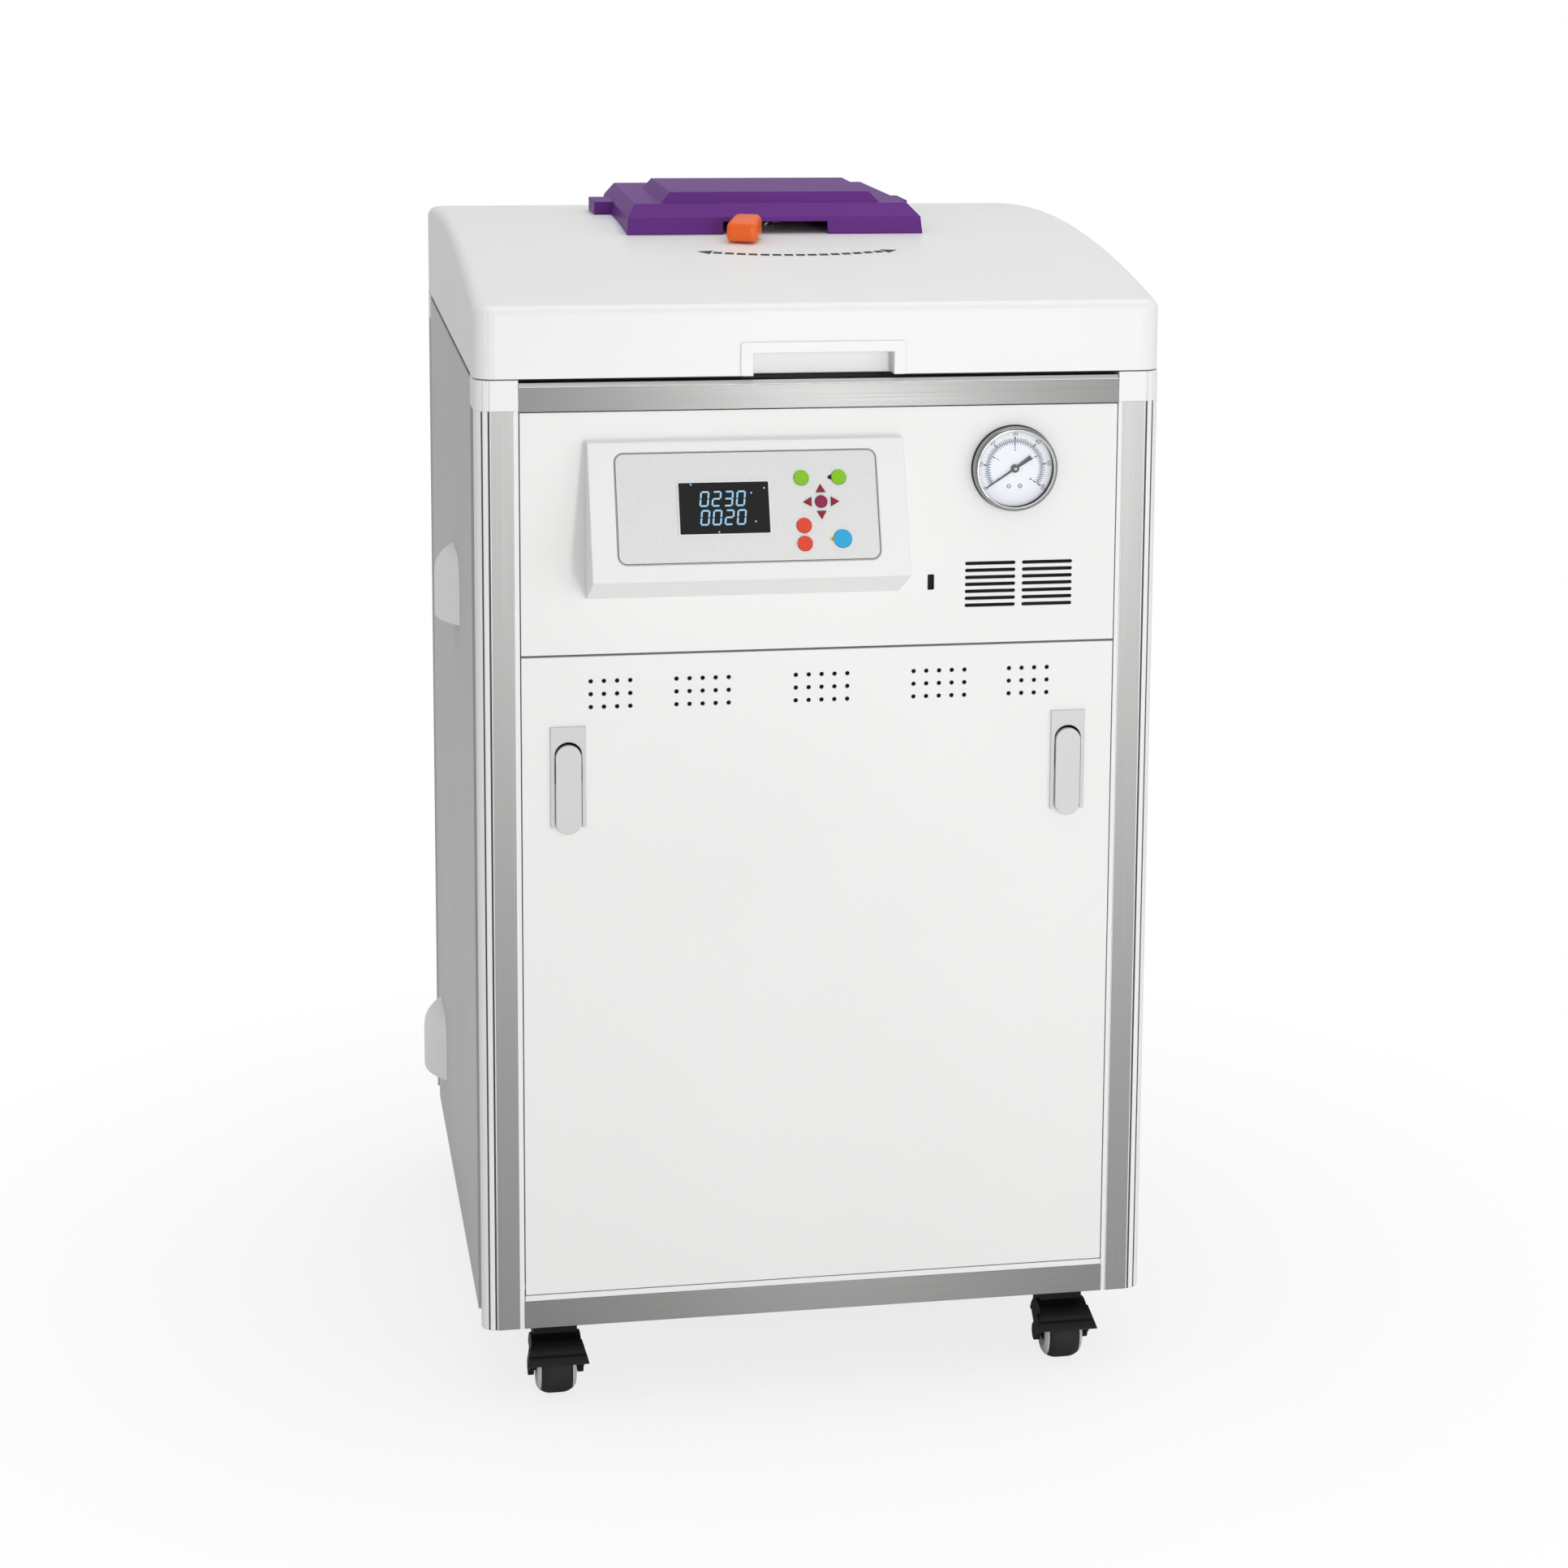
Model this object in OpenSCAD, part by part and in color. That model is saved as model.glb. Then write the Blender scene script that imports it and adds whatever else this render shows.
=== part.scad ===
// Vertical autoclave: a top-loading steam steriliser in a cabinet on casters.
// Origin on the floor under the middle, X to the right, Y to the rear, Z up.
// Depths are counted back from the cabinet's front, heights up from its base.

/* [Cabinet] */
// Width of the cabinet
cab_w = 610; // [580:5:640]
// Depth of the cabinet
cab_d = 690; // [670:5:720]
// Height of the cabinet from its base to the caps of its posts
frame_h = 864; // [850:2:900]
// Height of the casters under the base
caster_h = 76; // [72:1:90]
// Thickness of the painted sheet
sheet_t = 1.5; // [1:0.1:2.5]
// Depth of the folded edges of the panels
fold_d = 12; // [8:0.5:14]
// Gap round the panels
panel_gap = 1; // [0.5:0.1:2]
// Height of the control panel, below the upper rail
control_h = 216.8; // [200:0.1:235]
// Size of the square tubes of the inner frame
tube = 24; // [20:1:28]

/* [Posts and rails] */
// Width of a corner post from the front
post_w = 38; // [34:0.5:42]
// Depth of a corner post from the side
post_d = 50; // [44:0.5:54]
// Corner radius of a post
post_r = 14; // [10:0.5:16]
// Wall of the post extrusion
post_wall = 5; // [4:0.5:6]
// Radius of the flutes in the post
flute_r = 0.9; // [0.5:0.1:1.5]
// Height of the cap on a post
cap_h = 27; // [20:0.5:34]
// Height of the upper rail
rail_h = 24; // [20:0.5:26]
// Height of the lower rail
base_rail_h = 28; // [24:0.5:29]
// Bevel on the upper edge of a rail
rail_bevel = 3; // [1:0.5:5]

/* [Control panel] */
// Width of the control console
console_w = 278; // [260:1:290]
// Middle of the console, to the left of the cabinet's middle
console_x = -70; // [-80:1:-60]
// Drop of the console's upper edge below the upper rail
console_drop = 26.3; // [22:0.1:34]
// How far the console's upper edge stands out
console_out = 12; // [8:0.5:20]
// Length of the console's sloping face
console_face = 124; // [118:0.5:130]
// Slope of the console's face from upright, in degrees
console_tilt = 22; // [15:1:28]
// Height of the console's slanting underside
console_under = 25; // [20:1:35]
// Wall of the console moulding
console_wall = 3; // [2:0.25:4]
// Width of the silver keypad plate
keypad_w = 230; // [220:1:240]
// Height of the silver keypad plate
keypad_h = 99; // [90:1:104]
// Thickness of the keypad plate
keypad_t = 1.2; // [0.8:0.1:2]
// Corner radius of the keypad plate
keypad_r = 8; // [4:0.5:12]
// Width of the display window
display_w = 81; // [70:1:90]
// Height of the display window
display_h = 48; // [40:1:56]
// Travel of a key
key_travel = 1; // [0.5:0.1:1.2]
// Radius of the round keys
key_r = 6.6; // [5:0.1:7]
// Radius of the large blue key
blue_r = 8; // [6:0.1:9]

/* [Pressure gauge] */
// Place of the gauge, to the right of the middle
gauge_x = 172; // [160:1:180]
// Drop of the gauge's middle below the upper rail
gauge_drop = 57.3; // [50:0.1:64]
// Radius of the gauge's bezel
gauge_r = 38; // [34:0.5:40]
// Depth of the gauge in front of the panel
gauge_out = 12; // [12:0.5:16]
// Radius of the gauge's can behind the panel
can_r = 30; // [26:0.5:31]

/* [Grille and holes] */
// Pitch of the grille's slots
grille_pitch = 6.35; // [5.5:0.05:7]
// Height of a grille slot
grille_slot = 3.2; // [2:0.1:4]
// Width of a grille slot
grille_w = 46; // [40:0.5:47]
// Rows of grille slots
grille_rows = 7; // [5:1:7]
// Pitch of the round vent holes
hole_pitch = 11.6; // [10:0.1:12]
// Diameter of a round vent hole
hole_d = 4; // [3:0.1:5]

/* [Latches] */
// Distance of a latch from the middle
latch_x = 225.5; // [215:0.5:230]
// Width of a latch plate
latch_w = 31; // [28:0.5:34]
// Height of a latch plate
latch_h = 91; // [85:1:100]
// Drop of a latch plate's upper edge below the split of the panels
latch_drop = 63.5; // [55:0.5:80]
// Width of a latch paddle
paddle_w = 22.4; // [20:0.2:24]
// Length of a latch paddle
paddle_l = 80.5; // [76:0.5:84]

/* [Chamber] */
// Inner radius of the chamber
chamber_r = 200; // [190:1:202]
// Wall of the chamber
chamber_wall = 3; // [2:0.5:4]
// Room for pipes behind the chamber's flange
rear_room = 105; // [99:1:113]
// Height of the chamber's straight bottom edge
chamber_low = 240; // [235:1:300]
// Depth of the dished bottom
dish_h = 50; // [40:1:55]
// Width of the chamber's flange
flange_w = 25; // [22:1:28]
// Thickness of the flange
flange_t = 12; // [10:0.5:14]
// Thickness of the insulation
jacket_t = 30; // [20:1:32]
// Gap between the basket and the chamber
basket_gap = 15; // [10:1:30]
// Height of the basket
basket_h = 300; // [200:5:400]

/* [Lid] */
// Wall of the lid hood
hood_wall = 3; // [2:0.25:4]
// Radius of the hood's upper edges
hood_edge = 9; // [6:0.5:12]
// Radius of the hood's upright corners
hood_corner = 18; // [14:1:24]
// Height of the hood's crest over its lower edge
hood_crest = 99.5; // [96:0.5:110]
// How far the crest lies behind the chamber's axis
crest_back = 70; // [40:5:100]
// Radius of the arch of the hood
arch_r = 2450; // [2300:10:3000]
// Opening angle of the lid, in degrees
lid_open = 75; // [60:1:80]
// Width of the handle in the hood
handle_w = 147; // [130:1:160]
// Height of the handle
handle_h = 30; // [26:0.5:34]
// Depth of the handle's pocket
pocket_d = 18; // [14:0.5:24]

/* [Lock] */
// Half width of the lock cover at its front edge
cover_half = 142; // [130:1:150]
// Reach of the lock cover in front of the chamber's axis
cover_fore = 79; // [70:1:84]
// Reach of the lock cover behind the chamber's axis
cover_aft = 188; // [170:1:200]
// Half of the lever's swing, in degrees
lever_half = 17.5; // [12:0.5:18]
// Reach of the lever from its spindle to the front of its knob
lever_reach = 136; // [130:1:140]
// Width of the lever's knob
knob_w = 31.5; // [26:0.5:34]
// Radius at which the cam's pins drive the bolts
cam_throw = 24; // [20:0.5:25]
// Radius of the lever's spindle
spindle_r = 8; // [6:0.5:9]

/* [Casters] */
// Distance of a caster's king pin from the middle
caster_x = 237; // [225:1:237]
// Distance of a caster's king pin from the cabinet's front or rear
caster_in = 60; // [56:1:80]
// Distance of the axle from the king pin
caster_trail = 25; // [20:0.5:26]
// Radius of a wheel
wheel_r = 25; // [22:0.5:26]
// Width of a wheel
wheel_w = 34; // [28:0.5:36]

/* [Hidden] */
$fn = 64;

// Overrun of the cuts, play of running fits, seat of loose pieces and gap of sliding ones
over = 1;
play = 0.05;
seat = 0.3;
slack = 0.5;

// Where the cabinet stands, so that the whole object is centred on the origin
console_lip = console_out + console_face * sin(console_tilt);
port_stub = 38;
front_y = (console_lip - port_stub - cab_d) / 2;
mid_y = front_y + cab_d / 2;
half_w = cab_w / 2;
inner_half = half_w - post_w;
cap_base = frame_h - cap_h;
rail_drop = 3.7;
rail_top = frame_h - rail_drop;
rail_low = rail_top - rail_h;
split_h = rail_low - control_h;
console_top = rail_low - console_drop;
console_low = console_top - console_face * cos(console_tilt);
console_foot = console_low - console_under;
gauge_h = rail_low - gauge_drop;
latch_top = split_h - latch_drop;
deck_t = 3;
deck_top = rail_top - seat;
deck_low = deck_top - deck_t;
rail_d = tube;
panel_in = 1;
flange_r = chamber_r + flange_w;
chamber_d = cab_d - rear_room - flange_r;
basket_r = chamber_r - basket_gap;
crest_d = chamber_d + crest_back;
cover_front = chamber_d - cover_fore;
cover_back = chamber_d + cover_aft;

// A place in the cabinet from its depth and height
function yd(d) = front_y + d;
function zh(h) = caster_h + h;
// Height of the hood's arch over the cabinet's base at a depth
hood_gap = 1;
hood_low = frame_h + hood_gap;
function arch_h(d) = hood_low + hood_crest - pow(d - crest_d, 2) / (2 * arch_r);

// General helpers
module round_rect(w, h, r) {
    square([w - 2 * r, h], center = true);
    square([w, h - 2 * r], center = true);
    for (sx = [-1, 1], sy = [-1, 1]) translate([sx * (w / 2 - r), sy * (h / 2 - r)]) circle(r);
}
module slot2d(w, h) {
    square([w - h, h], center = true);
    for (s = [-1, 1]) translate([s * (w - h) / 2, 0]) circle(h / 2);
}
// Upright sheet: the outline lies in X and height, its front at depth d
module upright(d, t) {
    translate([0, yd(d) + t, zh(0)]) rotate([90, 0, 0]) linear_extrude(t) children();
}
// Side profile: the outline lies in depth and height, drawn along X from x
module profile(x, t) {
    translate([x, yd(0), zh(0)]) rotate([90, 0, 90]) linear_extrude(t) children();
}
// Flat piece: the outline lies in X and depth, its underside at height h
module flat(h, t) {
    translate([0, yd(0), zh(h)]) linear_extrude(t) children();
}
module block(x0, x1, d0, d1, h0, h1) {
    translate([x0, yd(d0), zh(h0)]) cube([x1 - x0, d1 - d0, h1 - h0]);
}
module along_x(x, d, h, r, l) {
    translate([x, yd(d), zh(h)]) rotate([0, 90, 0]) cylinder(r = r, h = l);
}
module along_y(x, d, h, r, l) {
    translate([x, yd(d) + l, zh(h)]) rotate([90, 0, 0]) cylinder(r = r, h = l);
}
module along_z(x, d, h, r, l) {
    translate([x, yd(d), zh(h)]) cylinder(r = r, h = l);
}
module both_sides() {
    children();
    mirror([1, 0, 0]) children();
}

// Corner posts: one extrusion, standing at the four corners
flute_angles = [57, 83];
groove_deep = 3;
lip_w = 4;
lip_drop = 1;
module at_corners() {
    for (sx = [0, 1], sy = [0, 1]) translate([0, mid_y, 0]) mirror([sx, 0, 0]) mirror([0, sy, 0])
        translate([-half_w, -cab_d / 2, 0]) children();
}
module post_corner() {
    difference() {
        union() {
            translate([post_r, 0]) square([post_w - post_r, post_d]);
            translate([0, post_r]) square([post_w, post_d - post_r]);
            translate([post_r, post_r]) circle(post_r);
        }
        for (a = flute_angles)
            translate([post_r - post_r * cos(a), post_r - post_r * sin(a)]) circle(flute_r);
    }
}
module post_section() {
    difference() {
        post_corner();
        translate([-over, post_r]) square([groove_deep + over, post_d]);
        translate([post_w - lip_w, -over]) square([lip_w + over, lip_drop + over]);
        translate([post_wall + lip_drop, post_wall + lip_drop])
            square([post_w - 2 * post_wall - lip_drop, post_d - 2 * post_wall - lip_drop]);
    }
}
pivot_r = 3;
pivot_d = 7;
pivot_h = 38;
pivot_l = 9;
module corner_posts() {
    color("silver") {
        at_corners() translate([0, 0, zh(0)]) linear_extrude(cap_base) post_section();
        both_sides() along_x(inner_half - pivot_l, pivot_d, pivot_h, pivot_r, pivot_l + post_wall);
    }
}
module corner_caps() {
    color("white") at_corners() translate([0, 0, zh(cap_base)]) linear_extrude(cap_h) post_corner();
}

// Front rails: one hollow extrusion with a bevelled edge
rail_wall = 3;
module rail(h0, h) {
    difference() {
        profile(-inner_half, 2 * inner_half)
            polygon([[0, h0], [rail_d, h0], [rail_d, h0 + h], [rail_bevel, h0 + h],
                [0, h0 + h - rail_bevel]]);
        profile(-inner_half - over, 2 * inner_half + 2 * over)
            translate([rail_wall, h0 + rail_wall])
            square([rail_d - 2 * rail_wall, h - 2 * rail_wall - rail_bevel]);
    }
}
module front_rails() {
    color("lightslategray") {
        rail(0, base_rail_h);
        rail(rail_low, rail_h);
    }
}

// Frames of welded square tubes: one at the base with the chamber's ring, and one round the
// deck with the lugs and the shaft of the lid's hinge
base_sheet = 2;
tube_wall = 2;
hinge_back = 12;
hinge_up = 2.5;
hinge_d = cab_d + hinge_back;
hinge_h = frame_h + hinge_up;
hinge_r = 9.5;
shaft_r = 6;
knuckle_w = 36;
knuckle_x = 150;
lug_w = 9;
lug_gap = 1;
upright_gap = 4;
upright_d = rail_d + upright_gap;
rear_rail_t = 26;
rear_rail_d = cab_d - rear_rail_t;
tongue_t = 3;
tongue_out = 2;
pivot_drop = 27;
catch_up = 1;
paddle_pivot_h = latch_top - pivot_drop;
catch_h = paddle_pivot_h + catch_up;
bearer_gap = 100;
// Square tube, open at both ends along one axis
module tube_box(x, d, h, size, along) {
    cut = [for (i = [0 : 2]) i == along ? -over : tube_wall];
    translate([x, yd(d), zh(h)]) difference() {
        cube(size);
        translate(cut) cube(size - 2 * cut);
    }
}
module tube_x(d, h) {
    tube_box(-inner_half, d, h, [2 * inner_half, tube, tube], 0);
}
module hinge_lug(x) {
    difference() {
        union() {
            along_x(x, hinge_d, hinge_h, hinge_r, lug_w);
            profile(x, lug_w) polygon([[cab_d, deck_top - tube], [hinge_d + hinge_r, deck_low - 2 * deck_t],
                [hinge_d + hinge_r, hinge_h], [hinge_d - hinge_r, hinge_h], [hinge_d - hinge_r, deck_top],
                [cab_d, deck_top]]);
        }
        along_x(x - over, hinge_d, hinge_h, shaft_r + play, lug_w + 2 * over);
    }
}
module base_frame() {
    frame_d = cab_d - rail_d;
    color("dimgray") {
        difference() {
            flat(0, base_sheet) translate([-inner_half, rail_d + seat])
                square([2 * inner_half, frame_d - seat]);
            drain_way();
        }
        both_sides() {
            tube_box(inner_half - tube, rail_d + seat, base_sheet, [tube, frame_d - seat - over, tube], 1);
            for (d = [upright_d, rear_rail_d - tube])
                tube_box(inner_half - tube, d, base_sheet, [tube, tube, deck_low - tube - base_sheet], 2);
            block(latch_x - latch_w / 3, inner_half - over, upright_d - tongue_out, upright_d + tube / 2,
                catch_h + seat, catch_h + seat + tongue_t);
        }
        tube_x(rail_d + seat, base_sheet);
        block(-inner_half, inner_half, rear_rail_d, cab_d, base_sheet, base_rail_h);
        for (s = [-1, 1]) tube_x(chamber_d + s * bearer_gap - tube / 2, base_sheet);
        at_axis() skirt();
    }
}
module hinge_shaft() {
    half = knuckle_x + knuckle_w / 2 + lug_w + 2 * lug_gap;
    along_x(-half - 2 * hinge_r / 3, hinge_d, hinge_h, shaft_r, 2 * half + 4 * hinge_r / 3);
}
module deck_frame() {
    color("dimgray") {
        both_sides() {
            tube_box(inner_half - tube, rail_d + seat, deck_low - tube,
                [tube, rear_rail_d - rail_d - seat + skin, tube], 1);
            for (s = [-1, 1]) hinge_lug(knuckle_x + s * ((knuckle_w + lug_w) / 2 + lug_gap) - lug_w / 2);
        }
        tube_x(upright_d, deck_low - tube);
        block(-inner_half, inner_half, rear_rail_d, cab_d, deck_top - tube, deck_top);
        hinge_shaft();
    }
}

// Side panels: folded sheets with vent slots under the hoods
hood_places = [[273, 604], [555, 66]];
vent_h = 64;
vent_rows = 4;
vent_slot = 3;
vent_slot_w = 60;
module side_panel() {
    color("gainsboro") difference() {
        union() {
            block(-half_w, -half_w + sheet_t, post_d, cab_d - post_d, sheet_t, deck_top);
            for (h = [sheet_t, deck_low - sheet_t])
                block(-half_w, -half_w + fold_d, post_d, cab_d - post_d, h, h + sheet_t);
            for (d = [post_d, cab_d - post_d - sheet_t])
                block(-half_w, -half_w + fold_d, d, d + sheet_t, sheet_t, deck_low);
        }
        for (p = hood_places, i = [1 : vent_rows])
            translate([-half_w - over, yd(p[0]), zh(p[1] + i * vent_h / (vent_rows + 2))])
                rotate([90, 0, 90]) linear_extrude(sheet_t + 2 * over) slot2d(vent_slot_w, vent_slot);
    }
}
module side_panels() {
    both_sides() side_panel();
}

// Vent hoods: half cups turned about an upright axis, open below
vent_out = 20;
vent_half = 58;
vent_wall = 2;
vent_top = 22;
vent_steps = 6;
vent_turn = (vent_half * vent_half + vent_out * vent_out) / (2 * vent_out);
function bend(r, top, t) = [for (i = [0 : vent_steps]) let (a = 90 * i / vent_steps)
    [r - top * (1 - cos(a)), t - top * (1 - sin(a))]];
module cup(r, top, t) {
    rotate_extrude($fn = 180) polygon(concat([[0, 0], [r, 0]], bend(r, top, t), [[0, t]]));
}
module vent_hood() {
    difference() {
        translate([vent_turn - vent_out, 0, 0]) cup(vent_turn, vent_top, vent_h);
        translate([vent_turn - vent_out, 0, -over])
            cup(vent_turn - vent_wall, vent_top - vent_wall, vent_h - vent_wall + over);
        translate([0, -2 * vent_turn, -over]) cube([3 * vent_turn, 4 * vent_turn, vent_h + 2 * over]);
    }
}
module vent_hoods() {
    color("whitesmoke") both_sides() for (p = hood_places)
        translate([-half_w, yd(p[0]), zh(p[1])]) vent_hood();
}

// Rear panel with louvres and the ways out of the pipes and the lead
drain_h = 70;
flange_up = 4;
flange_top = frame_h + flange_up;
exhaust_drop = 78;
exhaust_h = flange_top - exhaust_drop;
gland_x = -190;
gland_h = 100;
thread_r = 10.48;
thread_l = 30;
louvre_rows = 8;
louvre_cols = 3;
louvre_w = 110;
louvre_h = 3.5;
louvre_pitch = 14;
louvre_low = 500;
louvre_shift = 140;
gland_r = 12;
nut_r = 16;
sill_gap = 3;
module drain_way() {
    along_z(0, chamber_d, -over, thread_r, base_sheet + 2 * over);
}
module rear_panel() {
    low = base_rail_h + sill_gap;
    high = deck_top - tube - panel_gap;
    color("gainsboro") difference() {
        union() {
            block(-inner_half + panel_gap, inner_half - panel_gap, cab_d - sheet_t, cab_d, low, high);
            both_sides() block(inner_half - panel_gap - sheet_t, inner_half - panel_gap,
                cab_d - fold_d, cab_d, low, high);
        }
        for (i = [0 : louvre_rows - 1], j = [0 : louvre_cols - 1])
            upright(cab_d - sheet_t - over, sheet_t + 2 * over)
                translate([(j - (louvre_cols - 1) / 2) * louvre_shift, louvre_low + i * louvre_pitch])
                slot2d(louvre_w, louvre_h);
        for (h = [drain_h, exhaust_h]) along_y(0, cab_d - fold_d, h, thread_r + slack, 2 * fold_d);
        along_y(gland_x, cab_d - fold_d, gland_h, gland_r + slack, 2 * fold_d);
    }
}

// Deck round the chamber's mouth, notched for the corner caps
deck_gap = 2;
deck_hole = flange_r + deck_gap;
module top_deck() {
    color("white") difference() {
        flat(deck_low, deck_t) difference() {
            translate([-half_w + sheet_t + slack, rail_d + seat])
                square([cab_w - 2 * sheet_t - 2 * slack, rear_rail_d - rail_d - 2 * seat]);
            for (sx = [-1, 1], d = [0, cab_d - post_d - slack])
                translate([sx * (half_w - post_w / 2), d + post_d / 2])
                    square([post_w + 2 * slack, post_d + 2 * slack], center = true);
        }
        along_z(0, chamber_d, deck_low - over, deck_hole, deck_t + 2 * over);
    }
}

// Front sheets: a tray with its edges folded back
module tray(h0, h1) {
    edge = inner_half - panel_gap;
    block(-edge, edge, panel_in, panel_in + sheet_t, h0, h1);
    for (h = [h0, h1 - sheet_t]) block(-edge, edge, panel_in, panel_in + fold_d, h, h + sheet_t);
    both_sides() block(edge - sheet_t, edge, panel_in, panel_in + fold_d, h0, h1);
}
grille_left = 129;
grille_gap = 6;
grille_up = 73.5;
grille_top = split_h + grille_up;
port_x = 98;
port_up = 57.5;
port_h = split_h + port_up;
port_w = 6;
port_l = 14;
console_inset = 14;
module control_panel() {
    color("whitesmoke") difference() {
        tray(split_h + panel_gap, rail_low - panel_gap);
        upright(-over, fold_d) translate([console_x - console_w / 2, console_foot])
            offset(delta = -console_inset) square([console_w, console_top - console_foot]);
        along_y(gauge_x, -over, gauge_h, can_r + slack, fold_d);
        upright(-over, fold_d) {
            for (c = [0, 1], i = [0 : grille_rows - 1])
                translate([grille_left + c * (grille_w + grille_gap), grille_top - i * grille_pitch])
                    translate([grille_w / 2, 0]) slot2d(grille_w, grille_slot);
            translate([port_x, port_h]) round_rect(port_w, port_l, port_w / 6);
        }
    }
}

// Control console: a wedge that leans its face up to the user
module console_outline() {
    polygon([[panel_in, console_top], [-console_out, console_top], [-console_lip, console_low],
        [panel_in, console_foot]]);
}
// Local frame of the sloping face: v down the face from its upper edge, z out of it
module on_face(x, v) {
    translate([x, yd(-console_out), zh(console_top)]) rotate([90 - console_tilt, 0, 0])
        translate([0, -v, 0]) children();
}
keypad_v = 59;
keypad_x = -71.5;
keypad_sink = 0.8;
display_x = -92.5;
display_v = 60;
display_t = 2;
frame_line = 1.5;
// Keys: name, place across, place down the face, kind
key_table = [
    ["key_green_left", -23.7, 34.4, "round"], ["key_green_right", 9.4, 34.4, "round"],
    ["key_up", -7.2, 45.2, "up"], ["key_down", -7.2, 66.8, "down"],
    ["key_left", -18.2, 56, "left"], ["key_right", 3.8, 56, "right"],
    ["key_centre", -7.2, 56, "centre"], ["key_red_upper", -23.3, 77, "round"],
    ["key_red_lower", -23.3, 93, "round"], ["key_blue", 10.1, 89.4, "blue"]];
arrow_r = 4.6;
centre_r = 5.4;
key_out = 1.6;
key_deep = 7;
stem_share = 0.7;
arrow_turns = [["up", 90], ["down", -90], ["left", 180], ["right", 0]];
function key_size(kind) =
    kind == "round" ? key_r : kind == "blue" ? blue_r : kind == "centre" ? centre_r : arrow_r;
function arrow_turn(kind) = [for (a = arrow_turns) if (a[0] == kind) a[1]];
module key_outline(kind, extra) {
    turns = arrow_turn(kind);
    if (len(turns) == 0) circle(key_size(kind) + extra);
    else rotate(turns[0]) circle(key_size(kind) + 2 * extra, $fn = 3);
}
module key_cuts() {
    for (k = key_table) on_face(k[1], k[2])
        translate([0, 0, -key_deep - over]) linear_extrude(key_deep + 3 * over) key_outline(k[3], seat);
}
module control_console() {
    color("white") difference() {
        profile(console_x - console_w / 2, console_w) console_outline();
        profile(console_x - console_w / 2 + console_wall, console_w - 2 * console_wall) {
            offset(delta = -console_wall) console_outline();
            translate([-2 * console_wall, console_foot + console_inset])
                square([3 * console_wall, console_top - console_foot - 2 * console_inset]);
        }
        on_face(keypad_x, keypad_v) translate([0, 0, -keypad_sink - seat / 3]) linear_extrude(2 * keypad_t)
            round_rect(keypad_w + 2 * slack, keypad_h + 2 * slack, keypad_r + slack);
        key_cuts();
    }
}
module keypad_plate() {
    color("silver") difference() {
        union() {
            on_face(keypad_x, keypad_v) translate([0, 0, -keypad_sink]) linear_extrude(keypad_t)
                round_rect(keypad_w, keypad_h, keypad_r);
            on_face(display_x, display_v) linear_extrude(keypad_t)
                round_rect(display_w, display_h, frame_line);
        }
        key_cuts();
    }
}
module control_key(name) {
    for (k = key_table) if (k[0] == name) on_face(k[1], k[2]) {
        translate([0, 0, -key_travel]) linear_extrude(key_travel + key_out) key_outline(k[3], 0);
        translate([0, 0, -key_deep]) cylinder(r = key_size(k[3]) * stem_share / 2, h = key_deep);
    }
}
module key_green_left() { color("limegreen") control_key("key_green_left"); }
module key_green_right() { color("limegreen") control_key("key_green_right"); }
module key_up() { color("darkred") control_key("key_up"); }
module key_down() { color("darkred") control_key("key_down"); }
module key_left() { color("darkred") control_key("key_left"); }
module key_right() { color("darkred") control_key("key_right"); }
module key_centre() { color("maroon") control_key("key_centre"); }
module key_red_upper() { color("orangered") control_key("key_red_upper"); }
module key_red_lower() { color("orangered") control_key("key_red_lower"); }
module key_blue() { color("deepskyblue") control_key("key_blue"); }

// Pressure gauge, turned about its axis
dial_t = 1;
gauge_floor = 3;
gauge_wall = 3;
can_l = 34;
lens_t = 2;
lens_lip = 1;
pin_r = 1.2;
hub_r = 3.6;
needle_t = 1.2;
needle_out = 31;
needle_tail = 17.6;
needle_w = 1.8;
tail_w = 3.8;
tip_w = 0.6;
needle_rest = 214;
lens_low = gauge_out - lens_lip - lens_t;
module on_gauge() {
    translate([gauge_x, yd(panel_in), zh(gauge_h)]) rotate([90, 0, 0]) children();
}
module gauge_case() {
    inner = gauge_r - gauge_wall;
    color("silver") on_gauge() {
        rotate_extrude() difference() {
            union() {
                square([gauge_r, gauge_out - gauge_wall]);
                square([gauge_r - gauge_wall, gauge_out]);
                translate([gauge_r - gauge_wall, gauge_out - gauge_wall]) circle(gauge_wall, $fn = 32);
            }
            translate([0, gauge_floor]) square([inner, gauge_out - lens_lip - gauge_floor]);
            translate([0, gauge_out - 2 * lens_lip]) square([inner - lens_lip, 3 * lens_lip]);
        }
        translate([0, 0, -can_l]) cylinder(r = can_r, h = can_l);
        cylinder(r = pin_r, h = lens_low - seat);
    }
}
module gauge_dial() {
    color("white") on_gauge() translate([0, 0, gauge_floor]) difference() {
        cylinder(r = gauge_r - gauge_wall - slack / 2, h = dial_t);
        translate([0, 0, -over]) cylinder(r = pin_r + play, h = dial_t + 2 * over);
    }
}
module gauge_lens() {
    color("lightblue", 0.3) on_gauge() translate([0, 0, lens_low])
        cylinder(r = gauge_r - gauge_wall - play, h = lens_t);
}
module gauge_needle() {
    low = gauge_floor + dial_t + seat;
    color("black") on_gauge() translate([0, 0, low]) difference() {
        union() {
            cylinder(r = hub_r, h = 2 * needle_t);
            translate([0, 0, needle_t / 2]) rotate(needle_rest) linear_extrude(needle_t)
                polygon([[-needle_tail, -tail_w / 2], [-needle_tail, tail_w / 2], [0, needle_w / 2],
                    [needle_out, tip_w / 2], [needle_out, -tip_w / 2], [0, -needle_w / 2]]);
        }
        translate([0, 0, -over]) cylinder(r = pin_r + play, h = lens_low);
    }
}

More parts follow.
